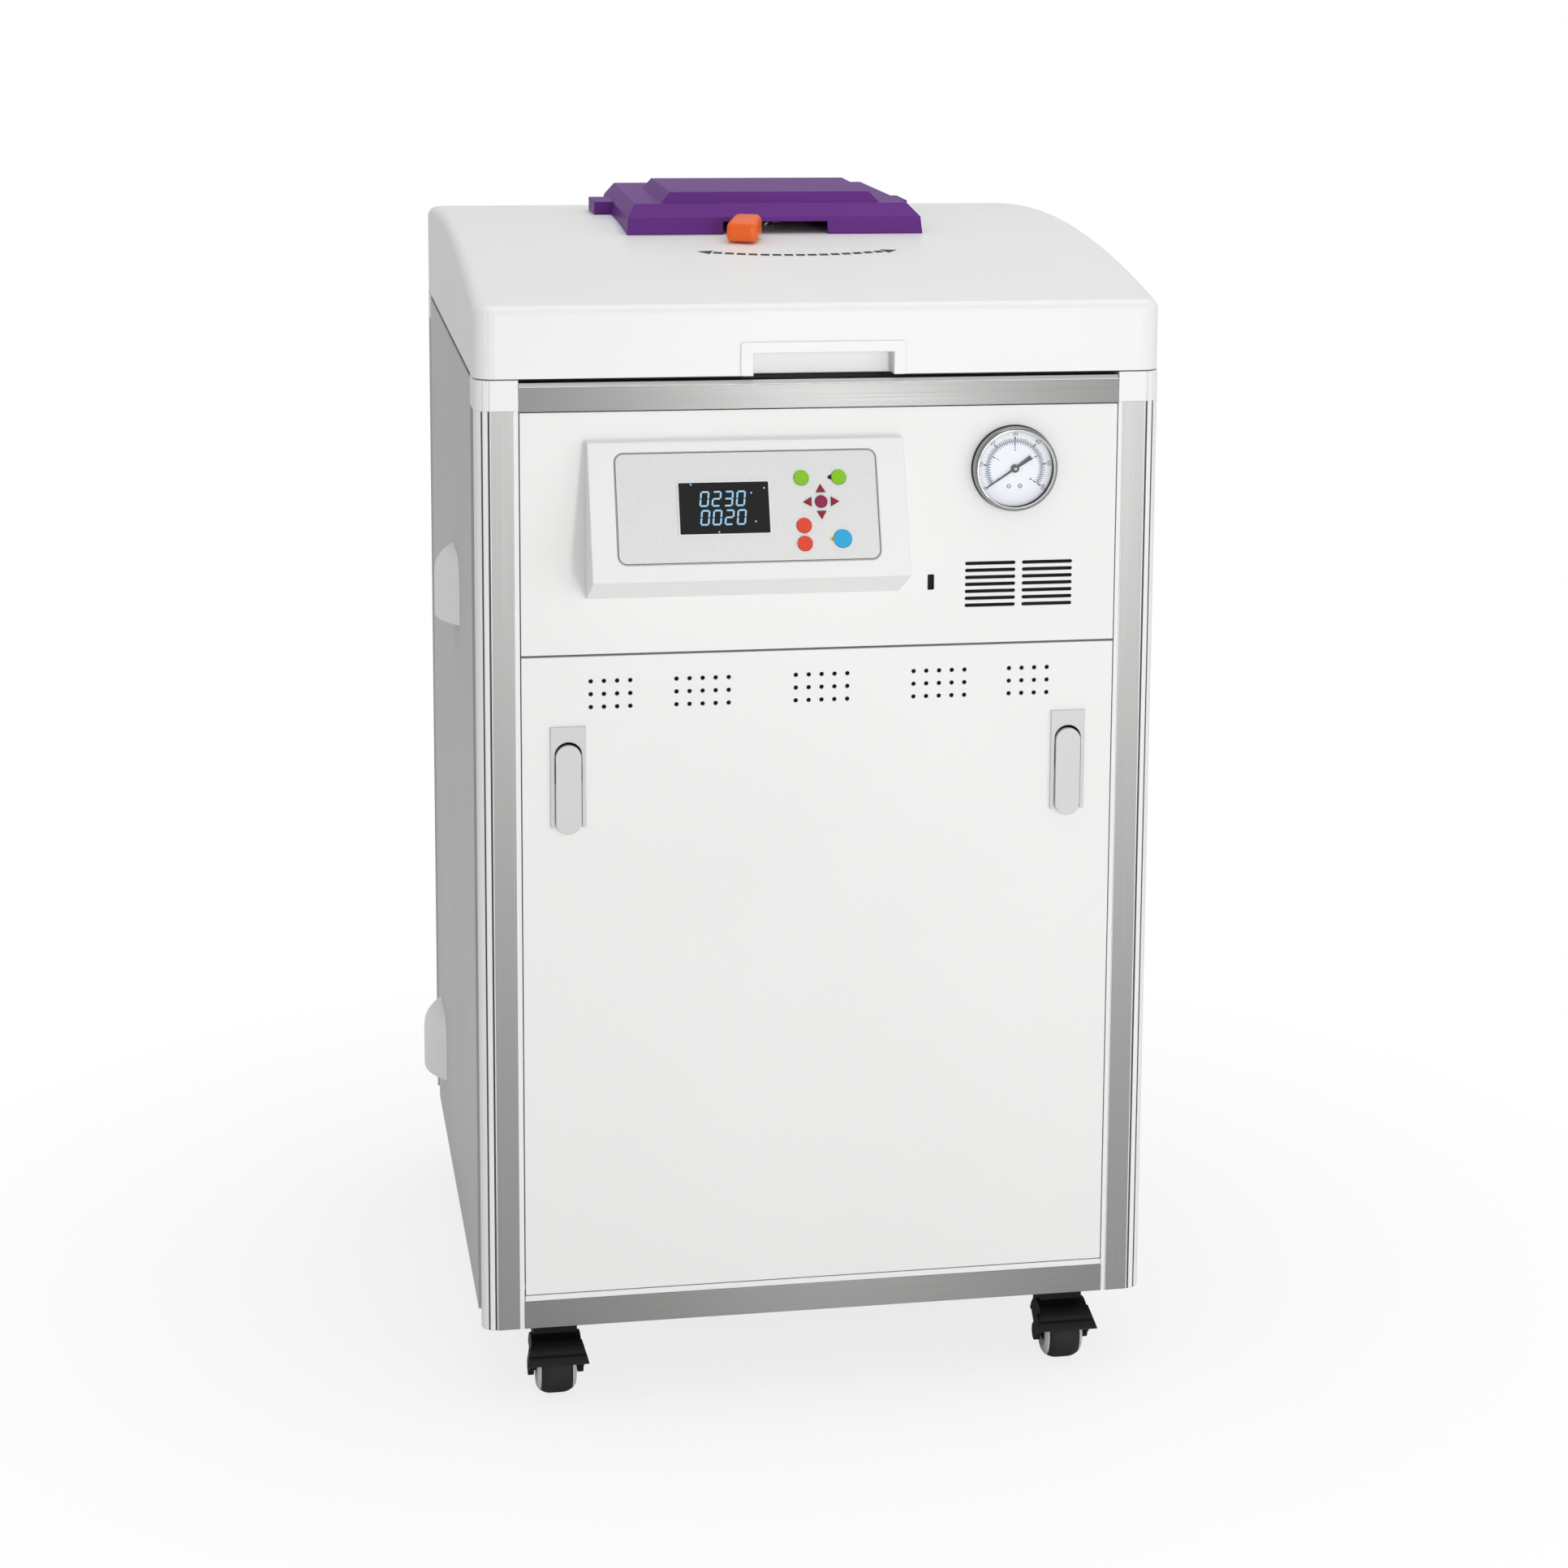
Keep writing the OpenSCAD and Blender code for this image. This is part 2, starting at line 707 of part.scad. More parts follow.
// Chamber: a dished vessel with its flange, skirt, heater bosses and lock keepers
skirt_r = 150;
skirt_t = 3;
heater_r = 130;
heater_tube = 5.5;
leg_angles = [75, 105];
boss_r = 11;
boss_l = 24;
arc_steps = 10;
function dish(r, drop) = [for (i = [0 : arc_steps]) let (a = 90 * i / arc_steps)
    [r * cos(a), chamber_low - drop * sin(a)]];
function dish_at(r) = chamber_low - dish_h * sqrt(1 - pow(r / chamber_r, 2));
function under_dish(r) =
    chamber_low - (dish_h + chamber_wall) * sqrt(1 - pow(r / (chamber_r + chamber_wall), 2));
bolt_w = 16;
bolt_t = 8;
keeper_gap = 11;
keeper_in = flange_r + keeper_gap;
keeper_sink = 7;
keeper_play = 1;
keeper_t = 16;
keeper_wall = 6;
plate_up = 48;
bolt_up = 6;
plate_h = frame_h + plate_up;
bolt_h = plate_h + bolt_up;
bolt_y = cam_throw * (1 + cos(lever_half)) / 2;
module at_axis() {
    translate([0, yd(chamber_d), zh(0)]) children();
}
// Keeper block on the flange, with the window that the bolt enters
module keeper() {
    foot = flange_top - keeper_sink;
    half = bolt_w / 2 + keeper_wall;
    difference() {
        union() {
            translate([keeper_in, -half, foot])
                cube([keeper_t, 2 * half, bolt_h + bolt_t + keeper_wall - foot]);
            translate([flange_r - 3 * keeper_wall, -half, foot])
                cube([keeper_gap + keeper_t + 3 * keeper_wall, 2 * half, flange_top - foot]);
        }
        translate([keeper_in - over, -bolt_w / 2 - keeper_play, bolt_h - keeper_play])
            cube([keeper_t + 2 * over, bolt_w + 2 * keeper_play, bolt_t + 2 * keeper_play]);
    }
}
module chamber() {
    rim = flange_top - flange_t;
    color("silver") at_axis() difference() {
        union() {
            rotate_extrude($fn = 128) difference() {
                polygon(concat([[0, rim], [chamber_r + chamber_wall, rim]],
                    dish(chamber_r + chamber_wall, dish_h + chamber_wall)));
                polygon(concat([[0, rim + over], [chamber_r, rim + over]], dish(chamber_r, dish_h)));
            }
            for (a = leg_angles) rotate(a) translate([heater_r, 0, dish_at(heater_r) - boss_l * 2 / 3])
                cylinder(r = boss_r, h = boss_l);
        }
        for (a = leg_angles) rotate(a) translate([heater_r, 0, 0])
            cylinder(r = heater_tube + play, h = chamber_low);
        cylinder(r = pipe_r - pipe_wall, h = chamber_low);
    }
}
// Flange: a flat ring on the chamber's rim, with the keepers of the lock's bolts
module chamber_flange() {
    color("silver") at_axis() {
        rotate_extrude($fn = 128) translate([chamber_r, flange_top - flange_t]) square([flange_w, flange_t]);
        for (a = [0, 180]) rotate(a) translate([0, -bolt_y, 0]) keeper();
    }
}
skirt_gate = 70;
skirt_gate_h = 110;
// Ring on the base frame that carries the chamber, with a gate for the drain pipe
module skirt() {
    low = base_sheet + tube - over;
    difference() {
        translate([0, 0, low]) difference() {
            cylinder(r = skirt_r + skirt_t, h = under_dish(skirt_r) - low);
            translate([0, 0, -over]) cylinder(r = skirt_r, h = chamber_low);
        }
        translate([-skirt_gate / 2, -chamber_r, low - over]) cube([skirt_gate, 2 * chamber_r, skirt_gate_h]);
    }
}
module insulation_jacket() {
    inner = chamber_r + chamber_wall + seat;
    color("lightgray") at_axis() difference() {
        translate([0, 0, chamber_low])
            cylinder(r = inner + jacket_t, h = flange_top - flange_t - seat - chamber_low, $fn = 128);
        translate([0, 0, chamber_low - over]) cylinder(r = inner, h = frame_h, $fn = 128);
        translate([0, 0, exhaust_h]) rotate([-90, 0, 0]) cylinder(r = pipe_r + slack, h = cab_d);
        translate([gauge_x, 0, gauge_h]) rotate([90, 0, 0]) cylinder(r = line_r + slack, h = cab_d);
    }
}
// Heater: a tube bent round into a ring, its two ends brought down through the bosses
heater_drop = 4;
heater_h = chamber_low - heater_drop;
module heater() {
    half = (leg_angles[1] - leg_angles[0]) / 2;
    color("dimgray") at_axis() {
        rotate(leg_angles[1]) translate([0, 0, heater_h]) rotate_extrude(angle = 360 - 2 * half, $fn = 96)
            translate([heater_r, 0]) circle(heater_tube, $fn = 32);
        for (a = leg_angles) rotate(a) translate([heater_r, 0, 0]) {
            translate([0, 0, dish_at(heater_r) - 2 * boss_l])
                cylinder(r = heater_tube, h = heater_h - dish_at(heater_r) + 2 * boss_l);
            translate([0, 0, dish_at(heater_r) - boss_l])
                cylinder(r = boss_r, h = boss_l / 3 - seat, $fn = 6);
            translate([0, 0, heater_h]) sphere(heater_tube, $fn = 32);
        }
    }
}
guard_up = 22;
guard_h = chamber_low + guard_up;
guard_t = 2;
guard_gap = 4;
guard_inset = 30;
guard_feet = chamber_r - guard_inset;
guard_foot_r = 5;
foot_rest_share = 1.14;
guard_angles = [30, 150, 270];
guard_rings = [[0, 1], [60, 6], [120, 12]];
guard_hole = 10;
module heater_guard() {
    low = dish_at(guard_feet) + guard_foot_r * foot_rest_share;
    color("silver") at_axis() {
        difference() {
            translate([0, 0, guard_h]) cylinder(r = chamber_r - guard_gap, h = guard_t);
            for (g = guard_rings, i = [0 : g[1] - 1]) rotate(i * 360 / g[1])
                translate([g[0], 0, guard_h - over]) cylinder(r = guard_hole, h = guard_t + 2 * over);
        }
        for (a = guard_angles) rotate(a) translate([guard_feet, 0, low]) {
            cylinder(r = guard_foot_r, h = guard_h - low);
            sphere(guard_foot_r);
        }
    }
}
basket_wall = 1.5;
basket_bead = 3;
basket_rings = [[0, 1], [90, 6]];
basket_hole = 12;
// Basket: a deep can with a rolled rim, drained through its floor
module basket() {
    low = guard_h + guard_t + seat;
    color("silver") at_axis() translate([0, 0, low]) {
        difference() {
            cylinder(r = basket_r, h = basket_h, $fn = 96);
            translate([0, 0, basket_wall]) cylinder(r = basket_r - basket_wall, h = basket_h, $fn = 96);
            for (g = basket_rings, i = [0 : g[1] - 1]) rotate(i * 360 / g[1]) translate([g[0], 0, -over])
                cylinder(r = basket_hole, h = basket_wall + 2 * over);
        }
        translate([0, 0, basket_h]) rotate_extrude($fn = 96)
            translate([basket_r - basket_wall / 2, 0]) circle(basket_bead, $fn = 24);
    }
}

// Pipework: drain, exhaust and gauge lines with their valve bodies
pipe_r = 8;
pipe_wall = 1.5;
line_r = 3;
elbow_r = 12;
valve_w = 36;
valve_h = 44;
drain_valve_back = 130;
exhaust_valve_back = 58;
hex_r = 16;
hex_l = 8;
module rear_port(h) {
    along_y(0, cab_d + seat, h, hex_r, hex_l, $fn = 6);
    difference() {
        along_y(0, cab_d, h, thread_r, port_stub);
        along_y(0, cab_d + hex_l, h, pipe_r - pipe_wall, port_stub);
    }
}
module valve_body(d, h) {
    block(-valve_w / 2, valve_w / 2, d - valve_w / 2, d + valve_w / 2, h - valve_w / 3, h + valve_w / 3);
    along_z(0, d, h, valve_w / 3, valve_h);
}
module pipework() {
    start = dish_at(0) - chamber_wall;
    wall_r = chamber_r + chamber_wall;
    side_d = chamber_d - sqrt(pow(wall_r, 2) - pow(gauge_x - line_r, 2));
    color("lightsteelblue") {
        along_z(0, chamber_d, drain_h, pipe_r, start - drain_h);
        translate([0, yd(chamber_d), zh(drain_h)]) sphere(elbow_r);
        along_y(0, chamber_d, drain_h, pipe_r, cab_d - chamber_d);
        valve_body(cab_d - drain_valve_back, drain_h);
        rear_port(drain_h);
        along_y(0, chamber_d + wall_r + seat, exhaust_h, pipe_r, cab_d - chamber_d - wall_r - seat);
        valve_body(cab_d - exhaust_valve_back, exhaust_h - valve_h / 2);
        rear_port(exhaust_h);
        along_y(gauge_x, panel_in + can_l, gauge_h, line_r, side_d - panel_in - can_l - seat);
    }
}
// Condensate bottle on the base behind the front panel
bottle_w = 150;
bottle_d = 80;
bottle_h = 230;
bottle_x = -150;
bottle_in = 50;
bottle_neck = 22;
bottle_edge = 14;
cap_share = 1.3;
module exhaust_bottle() {
    color("white") translate([bottle_x, yd(bottle_in + bottle_d / 2), zh(base_sheet)]) {
        linear_extrude(bottle_h) round_rect(bottle_w, bottle_d, bottle_edge);
        cylinder(r = bottle_neck, h = bottle_h + bottle_neck);
        translate([0, 0, bottle_h + bottle_neck / 2]) cylinder(r = bottle_neck * cap_share, h = bottle_neck);
    }
}
cable_r = 5;
gland_l = 24;
module cable_gland() {
    color("black") difference() {
        union() {
            along_y(gland_x, cab_d - sheet_t - hex_l, gland_h, gland_r, gland_l + hex_l);
            along_y(gland_x, cab_d, gland_h, nut_r, hex_l, $fn = 6);
            along_y(gland_x, cab_d - sheet_t - hex_l, gland_h, nut_r, hex_l, $fn = 6);
        }
        along_y(gland_x, cab_d - 2 * gland_l, gland_h, cable_r, 4 * gland_l);
    }
}
// Front panel: a tray with vent holes, hung on two pivot pins at its foot
hole_groups = [[-188, 4], [-106.5, 5], [0, 5], [106.5, 5], [188, 4]];
hole_rows = 3;
hole_drop = 23.3;
hole_h = split_h - hole_drop - (hole_rows - 1) * hole_pitch;
panel_foot_gap = 3.5;
paddle_pivot_in = 2;
paddle_hole_w = 29.4;
paddle_hole_h = 43;
paddle_hole_drop = 4.5;
module front_panel() {
    color("whitesmoke") difference() {
        tray(base_rail_h + panel_foot_gap, split_h - panel_gap);
        upright(-over, fold_d - 2 * over) {
            for (g = hole_groups, i = [0 : g[1] - 1], j = [0 : hole_rows - 1])
                translate([g[0] + (i - (g[1] - 1) / 2) * hole_pitch, hole_h + j * hole_pitch])
                    circle(hole_d / 2, $fn = 24);
            for (s = [-1, 1]) translate([s * latch_x, paddle_pivot_h - paddle_hole_drop])
                round_rect(paddle_hole_w, paddle_hole_h, paddle_hole_w / 4);
        }
        both_sides() along_x(inner_half - pivot_l - over, pivot_d, pivot_h, pivot_r + play,
            pivot_l + 2 * over);
    }
}
latch_t = 2.5;
ear_t = 2.5;
ear_h = 12;
axle_r = 2;
paddle_t = 5;
tongue_w = 18;
nose_w = 8;
nose_in = 28;
paddle_gap = 1;
paddle_hang = 5.5;
paddle_low = latch_top - latch_h - paddle_hang;
module paddle_outline(w, l) {
    translate([0, paddle_low + l / 2]) rotate(90) slot2d(l, w);
}
module latch_plate() {
    ear = paddle_w / 2 + slack + ear_t / 2;
    upright(panel_in - latch_t, latch_t) difference() {
        translate([0, latch_top - latch_h / 2]) square([latch_w, latch_h], center = true);
        translate([0, slack]) paddle_outline(paddle_w + 2 * paddle_gap, paddle_l + 2 * paddle_gap);
        translate([0, paddle_low]) square([paddle_w + 2 * paddle_gap, latch_h], center = true);
    }
    for (s = [-1, 1]) difference() {
        block(s * ear - ear_t / 2, s * ear + ear_t / 2, panel_in - latch_t / 2,
            panel_in + paddle_pivot_in + 2 * axle_r, paddle_pivot_h - ear_h / 2, paddle_pivot_h + ear_h / 2);
        along_x(s * ear - ear_t, panel_in + paddle_pivot_in, paddle_pivot_h, axle_r + play, 2 * ear_t);
    }
}
module latch_plates() {
    color("silver") for (s = [-1, 1]) translate([s * latch_x, 0, 0]) latch_plate();
}
module latch_paddle(s) {
    tip = panel_in + nose_in;
    color("lightgray") translate([s * latch_x, 0, 0]) {
        upright(panel_in - seat - paddle_t, paddle_t) paddle_outline(paddle_w, paddle_l);
        block(-tongue_w / 2, tongue_w / 2, panel_in - latch_t, panel_in + paddle_pivot_in + 2 * axle_r,
            paddle_pivot_h - ear_h / 2, paddle_pivot_h + ear_h / 2 - over);
        block(-nose_w / 2, nose_w / 2, panel_in, tip, catch_h - ear_h / 2, catch_h);
        along_x(-paddle_w / 2 - slack - ear_t, panel_in + paddle_pivot_in, paddle_pivot_h, axle_r,
            paddle_w + 2 * slack + 2 * ear_t);
    }
}
module latch_paddle_left() { latch_paddle(-1); }
module latch_paddle_right() { latch_paddle(1); }

// Lid hood: an arched shell with rounded edges
hood_stations = 16;
hood_notch = 46;
boss_x = 140;
boss_fore = 128;
boss_aft = 168;
boss_ds = [chamber_d - boss_fore, chamber_d + boss_aft];
hood_boss_r = 6;
arm_gap = 7;
pocket_gap = 2;
// Rounded disc that the hull of the hood is stretched over
module hood_disc(wall) {
    rotate_extrude($fn = 24) intersection() {
        translate([hood_corner - hood_edge, 0]) circle(hood_edge - wall, $fn = 24);
        translate([0, -hood_edge]) square([hood_corner, 2 * hood_edge]);
    }
}
// Height of a disc whose flat top meets the arch at its lower side
function disc_h(d, flat) = min(arch_h(d - flat), arch_h(d + flat)) - hood_edge;
module hood_form(wall, low) {
    step = (cab_d - 2 * hood_corner) / hood_stations;
    side = half_w - hood_corner;
    hull() {
        for (s = [-1, 1], i = [0 : hood_stations]) let (d = hood_corner + i * step)
            translate([s * side, yd(d), zh(disc_h(d, hood_corner - hood_edge))]) hood_disc(wall);
        for (s = [-1, 1], d = [hood_corner, cab_d - hood_corner])
            along_z(s * side, d, low, hood_corner - wall, hood_edge, $fn = 24);
    }
}
module lid_hood() {
    arm_top = hinge_h + hinge_r + arm_gap;
    pocket_w = handle_w - 2 * pocket_leg;
    color("whitesmoke") difference() {
        union() {
            difference() {
                hood_form(0, hood_low);
                hood_form(hood_wall, hood_low - over);
            }
            for (s = [-1, 1], d = boss_ds)
                along_z(s * boss_x, d, plate_h + deck_t, hood_boss_r,
                    arch_h(d) - hood_wall / 2 - plate_h - deck_t);
        }
        along_z(0, chamber_d, plate_h, 2 * spindle_r, cab_d);
        block(-pocket_w / 2 - pocket_gap, pocket_w / 2 + pocket_gap, -over, hood_corner,
            hood_low - over, hood_low + handle_h - pocket_leg + pocket_gap / 2);
        both_sides() block(knuckle_x - hood_notch / 2, knuckle_x + hood_notch / 2,
            cab_d - hood_corner, cab_d + over, hood_low - over, arm_top);
    }
}
// Handle: a raised frame with a scooped pocket, open below
pocket_leg = 9;
handle_out = 1.5;
handle_wall = 2;
handle_edge = 3;
module hood_handle() {
    top = hood_low + handle_h;
    inner = handle_w - 2 * pocket_leg;
    color("whitesmoke") difference() {
        union() {
            upright(-handle_out, handle_out - play) translate([0, hood_low + handle_h / 2])
                round_rect(handle_w, handle_h, handle_edge);
            block(-(inner + pocket_gap) / 2, (inner + pocket_gap) / 2, -play - over, pocket_d,
                hood_low, top - pocket_leg + pocket_gap / 4);
        }
        block(-inner / 2 + handle_wall, inner / 2 - handle_wall, -2 * handle_out, pocket_d - handle_wall,
            hood_low - over, top - pocket_leg - handle_wall / 2);
    }
}

// Lid frame: carrier plate, two arms with hinge knuckles, and the guides of the bolts
carrier_half = 165;
carrier_fore = 160;
carrier_aft = 200;
carrier_front = chamber_d - carrier_fore;
carrier_back = chamber_d + carrier_aft;
arm_w = 24;
arm_t = 15;
arm_drop_share = 0.4;
bend_shares = [0.22, 0.33, 0.56, 0.67];
guide_xs = [70, 150];
guide_w = 14;
guide_wall = 3;
bush_t = 3;
module lid_arm() {
    bar_low = plate_h - arm_t;
    low = hinge_h - hinge_r / 3;
    high = hinge_h + hinge_r;
    turn_d = chamber_d + flange_r + arm_drop_share * arm_w;
    bends = [for (s = bend_shares) turn_d + s * (hinge_d - turn_d)];
    profile(knuckle_x - arm_w / 2, arm_w) polygon([[carrier_front, plate_h + skin], [carrier_front, bar_low],
        [bends[0], bar_low], [bends[2], low], [hinge_d, low], [hinge_d, high],
        [bends[3], high], [bends[1], plate_h + skin]]);
    along_x(knuckle_x - knuckle_w / 2, hinge_d, hinge_h, hinge_r, knuckle_w);
}
module guide(x, s) {
    half = bolt_w / 2 + guide_wall;
    low = plate_h + deck_t;
    difference() {
        translate([x - guide_w / 2, -half, low - skin])
            cube([guide_w, 2 * half, bolt_h + bolt_t + guide_wall - low + skin]);
        translate([x - guide_w / 2 - over, -bolt_w / 2 - seat, bolt_h - seat])
            cube([guide_w + 2 * over, bolt_w + 2 * seat, bolt_t + 2 * seat]);
    }
}
module lid_frame() {
    color("slategray") {
        difference() {
            union() {
                block(-carrier_half, carrier_half, carrier_front, carrier_back, plate_h, plate_h + deck_t);
                along_z(0, chamber_d, plate_h, 2 * spindle_r, deck_t + bush_t - seat);
            }
            along_z(0, chamber_d, plate_h - over, spindle_r + play, deck_t + bush_t + 2 * over);
        }
        at_axis() for (a = [0, 180], x = guide_xs) rotate(a) translate([0, -bolt_y, 0]) guide(x);
        both_sides() difference() {
            lid_arm();
            along_x(knuckle_x - knuckle_w, hinge_d, hinge_h, shaft_r + play, 2 * knuckle_w);
        }
    }
}

// Door: a pressed dome with a flat rim and the groove of its gasket
door_gap = 4;
door_low = flange_top + door_gap;
door_rim = 8;
dome_inset = 10;
dome_r = chamber_r - dome_inset;
dome_rise = 28;
dome_t = 4;
boss_top_r = 32;
groove_out = 3;
groove_in = chamber_r + groove_out;
groove_w = 12;
groove_t = 3;
function dome(r, base) = [for (i = [0 : arc_steps]) let (q = r * (1 - i / arc_steps))
    [q, base + dome_rise * (1 - pow(q / r, 2))]];
module door_plate() {
    color("silver") at_axis() rotate_extrude($fn = 128) difference() {
        union() {
            translate([dome_r - dome_t, door_low]) square([flange_r - dome_r + dome_t, door_rim]);
            difference() {
                polygon(concat([[0, door_low + dome_t], [dome_r, door_low + dome_t]],
                    dome(dome_r, door_low + dome_t)));
                polygon(concat([[0, door_low - over], [dome_r - dome_t, door_low - over]],
                    dome(dome_r - dome_t, door_low)));
            }
            translate([0, door_low + dome_rise]) square([boss_top_r, plate_h - door_low - dome_rise]);
        }
        translate([groove_in, door_low - over]) square([groove_w, groove_t + over]);
    }
}
module door_gasket() {
    w = groove_w - 2 * seat;
    h = door_low + groove_t - flange_top - seat;
    color("orangered") at_axis() rotate_extrude($fn = 128)
        translate([groove_in + groove_w / 2, flange_top + seat]) {
            translate([-w / 2, h / 2]) square([w, h / 2]);
            translate([0, h / 2]) square([w / 2, h], center = true);
            for (s = [-1, 1]) translate([s * w / 4, w / 4]) circle(w / 4, $fn = 32);
        }
}

// Lock cover: a faceted moulding over the lever's spindle
cover_sink = 12;
cover_low = arch_h(crest_d) - cover_sink;
crest_sink = 4.5;
cover_crest = hood_low + hood_crest - crest_sink;
cover_rise = 16;
cover_wing = 27;
cover_top = 37;
cover_wall = 3;
wing_step = 11;
back_step = 16;
plateau_step = 46;
wing_half = cover_half - wing_step;
back_half = cover_half - back_step;
plateau_half = cover_half - plateau_step;
plateau_spread = [10.3, 7.8];
wing_front = 31;
face_lean = 6;
plateau_fronts = [36, 42];
plateau_backs = [70, 60];
ear_out = 14;
ear_l = 56;
ear_in = 161;
ear_d = cover_front + ear_in;
ear_top = 17;
slot_half = 50;
slot_low = 1;
slot_h = 12;
bay_half = 80;
bay_deep = 4;
bay_h = 14;
skin = 0.01;
// One level of the cover: half widths at its front and rear, its depths and its height
module level(front_half, rear_half, d0, d1, h, wall) {
    translate([0, yd(0), zh(h)]) linear_extrude(skin) polygon([[-front_half + wall, d0 + wall],
        [front_half - wall, d0 + wall], [rear_half - wall, d1 - wall], [-rear_half + wall, d1 - wall]]);
}
module cover_form(wall) {
    crest = cover_crest;
    hull() {
        level(cover_half, cover_half - face_lean / 3, cover_front, cover_back, cover_low - wall, wall);
        level(cover_half - face_lean / 3, cover_half - face_lean, cover_front + face_lean,
            cover_back - face_lean, crest + cover_rise - wall / 2, wall);
        level(wing_half, back_half, cover_front + wing_front, cover_back - face_lean,
            crest + cover_wing - wall, wall);
    }
    hull() {
        level(plateau_half + plateau_spread[0], plateau_half + plateau_spread[1],
            cover_front + plateau_fronts[0], cover_back - plateau_backs[1],
            crest + cover_wing - wall - over, wall);
        level(plateau_half, plateau_half, cover_front + plateau_fronts[1], cover_back - plateau_backs[0],
            crest + cover_top - wall, wall);
    }
}
module lock_cover() {
    crest = cover_crest;
    color("rebeccapurple") difference() {
        union() {
            difference() {
                union() {
                    cover_form(0);
                    block(-cover_half - ear_out, cover_half + ear_out, ear_d, ear_d + ear_l,
                        cover_low, crest + ear_top);
                }
                cover_form(cover_wall);
            }
        }
        translate([-half_w, yd(crest_d), zh(hood_low + hood_crest + seat - arch_r)]) rotate([0, 90, 0])
            cylinder(r = arch_r, h = cab_w, $fn = 720);
        block(-slot_half, slot_half, cover_front - cover_wall, cover_front + 3 * cover_wall,
            cover_low, crest + slot_h);
        block(-bay_half, bay_half, cover_front - over, cover_front + bay_deep - cover_wall / 2,
            cover_low, crest + bay_h);
    }
}

// Lock lever: spindle, cam with its two pins, and the arm to the knob
spindle_low = plate_h + seat;
cam_r = 32;
cam_t = 5;
cam_pin_r = 4;
arm_up = 3;
arm_low = arch_h(chamber_d) + arm_up;
cam_gap = 2;
lever_t = 5;
lever_w = 14;
knob_cover = 20;
arm_reach = lever_reach - knob_cover;
module at_lever() {
    at_axis() rotate(-lever_half) children();
}
module lock_lever() {
    cam_low = bolt_h + bolt_t + cam_gap;
    pin_low = bolt_h + cam_gap / 2;
    color("silver") at_lever() {
        translate([0, 0, spindle_low]) cylinder(r = spindle_r, h = arm_low + lever_t - spindle_low);
        translate([0, 0, cam_low]) cylinder(r = cam_r, h = cam_t);
        for (s = [-1, 1]) translate([0, s * cam_throw, pin_low])
            cylinder(r = cam_pin_r, h = cam_low + over - pin_low);
        translate([-lever_w / 2, -arm_reach, arm_low]) cube([lever_w, arm_reach, lever_t]);
    }
}
knob_l = 42;
knob_back = lever_reach - knob_l;
knob_gap = 1.3;
knob_back_gap = 2;
knob_front_h = 15;
knob_back_h = 22;
knob_edge = 3;
knob_floor = 4.5;
module lever_knob() {
    low_f = arch_h(chamber_d - lever_reach) + knob_gap;
    low_b = arch_h(chamber_d - knob_back) + knob_back_gap;
    knob_side = knob_w / 2 - knob_edge;
    color("orangered") at_lever() difference() {
        hull() for (x = [-knob_side, knob_side]) {
            for (h = [low_f + knob_edge, low_f + knob_front_h])
                translate([x, -lever_reach + knob_edge, h]) sphere(knob_edge, $fn = 20);
            for (h = [low_b + knob_edge, low_f + knob_back_h])
                translate([x, -knob_back - knob_edge, h]) sphere(knob_edge, $fn = 20);
        }
        translate([-lever_w / 2 - seat / 3, -arm_reach - seat / 3, arm_low - seat / 3])
            cube([lever_w + 2 * seat / 3, arm_reach, lever_t + 2 * seat / 3]);
    }
}
// Lock bolt: a flat bar with a cross slot for the cam's pin
bolt_gap = 4;
bolt_tip = keeper_in - bolt_gap;
slot_play = 0.3;
slot_wall = 2;
bolt_head = 10;
module lock_bolt() {
    start = -cam_throw * sin(lever_half);
    at_axis() translate([0, -bolt_y, bolt_h]) difference() {
        translate([start - bolt_head, -bolt_w / 2, 0]) cube([bolt_tip - start + bolt_head, bolt_w, bolt_t]);
        translate([start - cam_pin_r - slot_play, -bolt_w / 2 + slot_wall, -over])
            cube([2 * cam_pin_r + 2 * slot_play, bolt_w - 2 * slot_wall, bolt_t + 2 * over]);
    }
}
module lock_bolt_right() { color("silver") lock_bolt(); }
module lock_bolt_left() {
    color("silver") translate([0, 2 * yd(chamber_d), 0]) mirror([0, 1, 0]) mirror([1, 0, 0]) lock_bolt();
}

// Casters: fixed plate with its king pin, hooded fork, wide wheel and brake pedal
plate_w = 60;
plate_t = 2.5;
king_r = 5;
king_l = 13;
plate_hole = 3.2;
plate_edge = 5;
plate_share = 0.38;
hub_top_r = 20;
hub_top_l = 30;
fender_gap = 3;
fender_t = 2.5;
caster_axle_r = 4;
axle_h = wheel_r - caster_h;
hood_end = 12;
cheek_top = 22;
cheek_low = 8;
module at_caster(sx, sy) {
    translate([sx * caster_x, sy < 0 ? yd(caster_in) : yd(cab_d - caster_in), caster_h]) children();
}
module caster_plates() {
    color("dimgray") for (sx = [-1, 1], sy = [-1, 1]) at_caster(sx, sy) {
        difference() {
            translate([0, 0, -plate_t]) linear_extrude(plate_t) round_rect(plate_w, plate_w, plate_edge);
            for (i = [-1, 1], j = [-1, 1])
                translate([i * plate_w * plate_share, j * plate_w * plate_share, -plate_t - over])
                cylinder(r = plate_hole, h = plate_t + 2 * over);
        }
        translate([0, 0, -king_l - plate_t]) cylinder(r = king_r, h = king_l + plate_t);
    }
}
module across(x, r, l) {
    translate([x, -caster_trail, axle_h]) rotate([0, 90, 0]) cylinder(r = r, h = l);
}
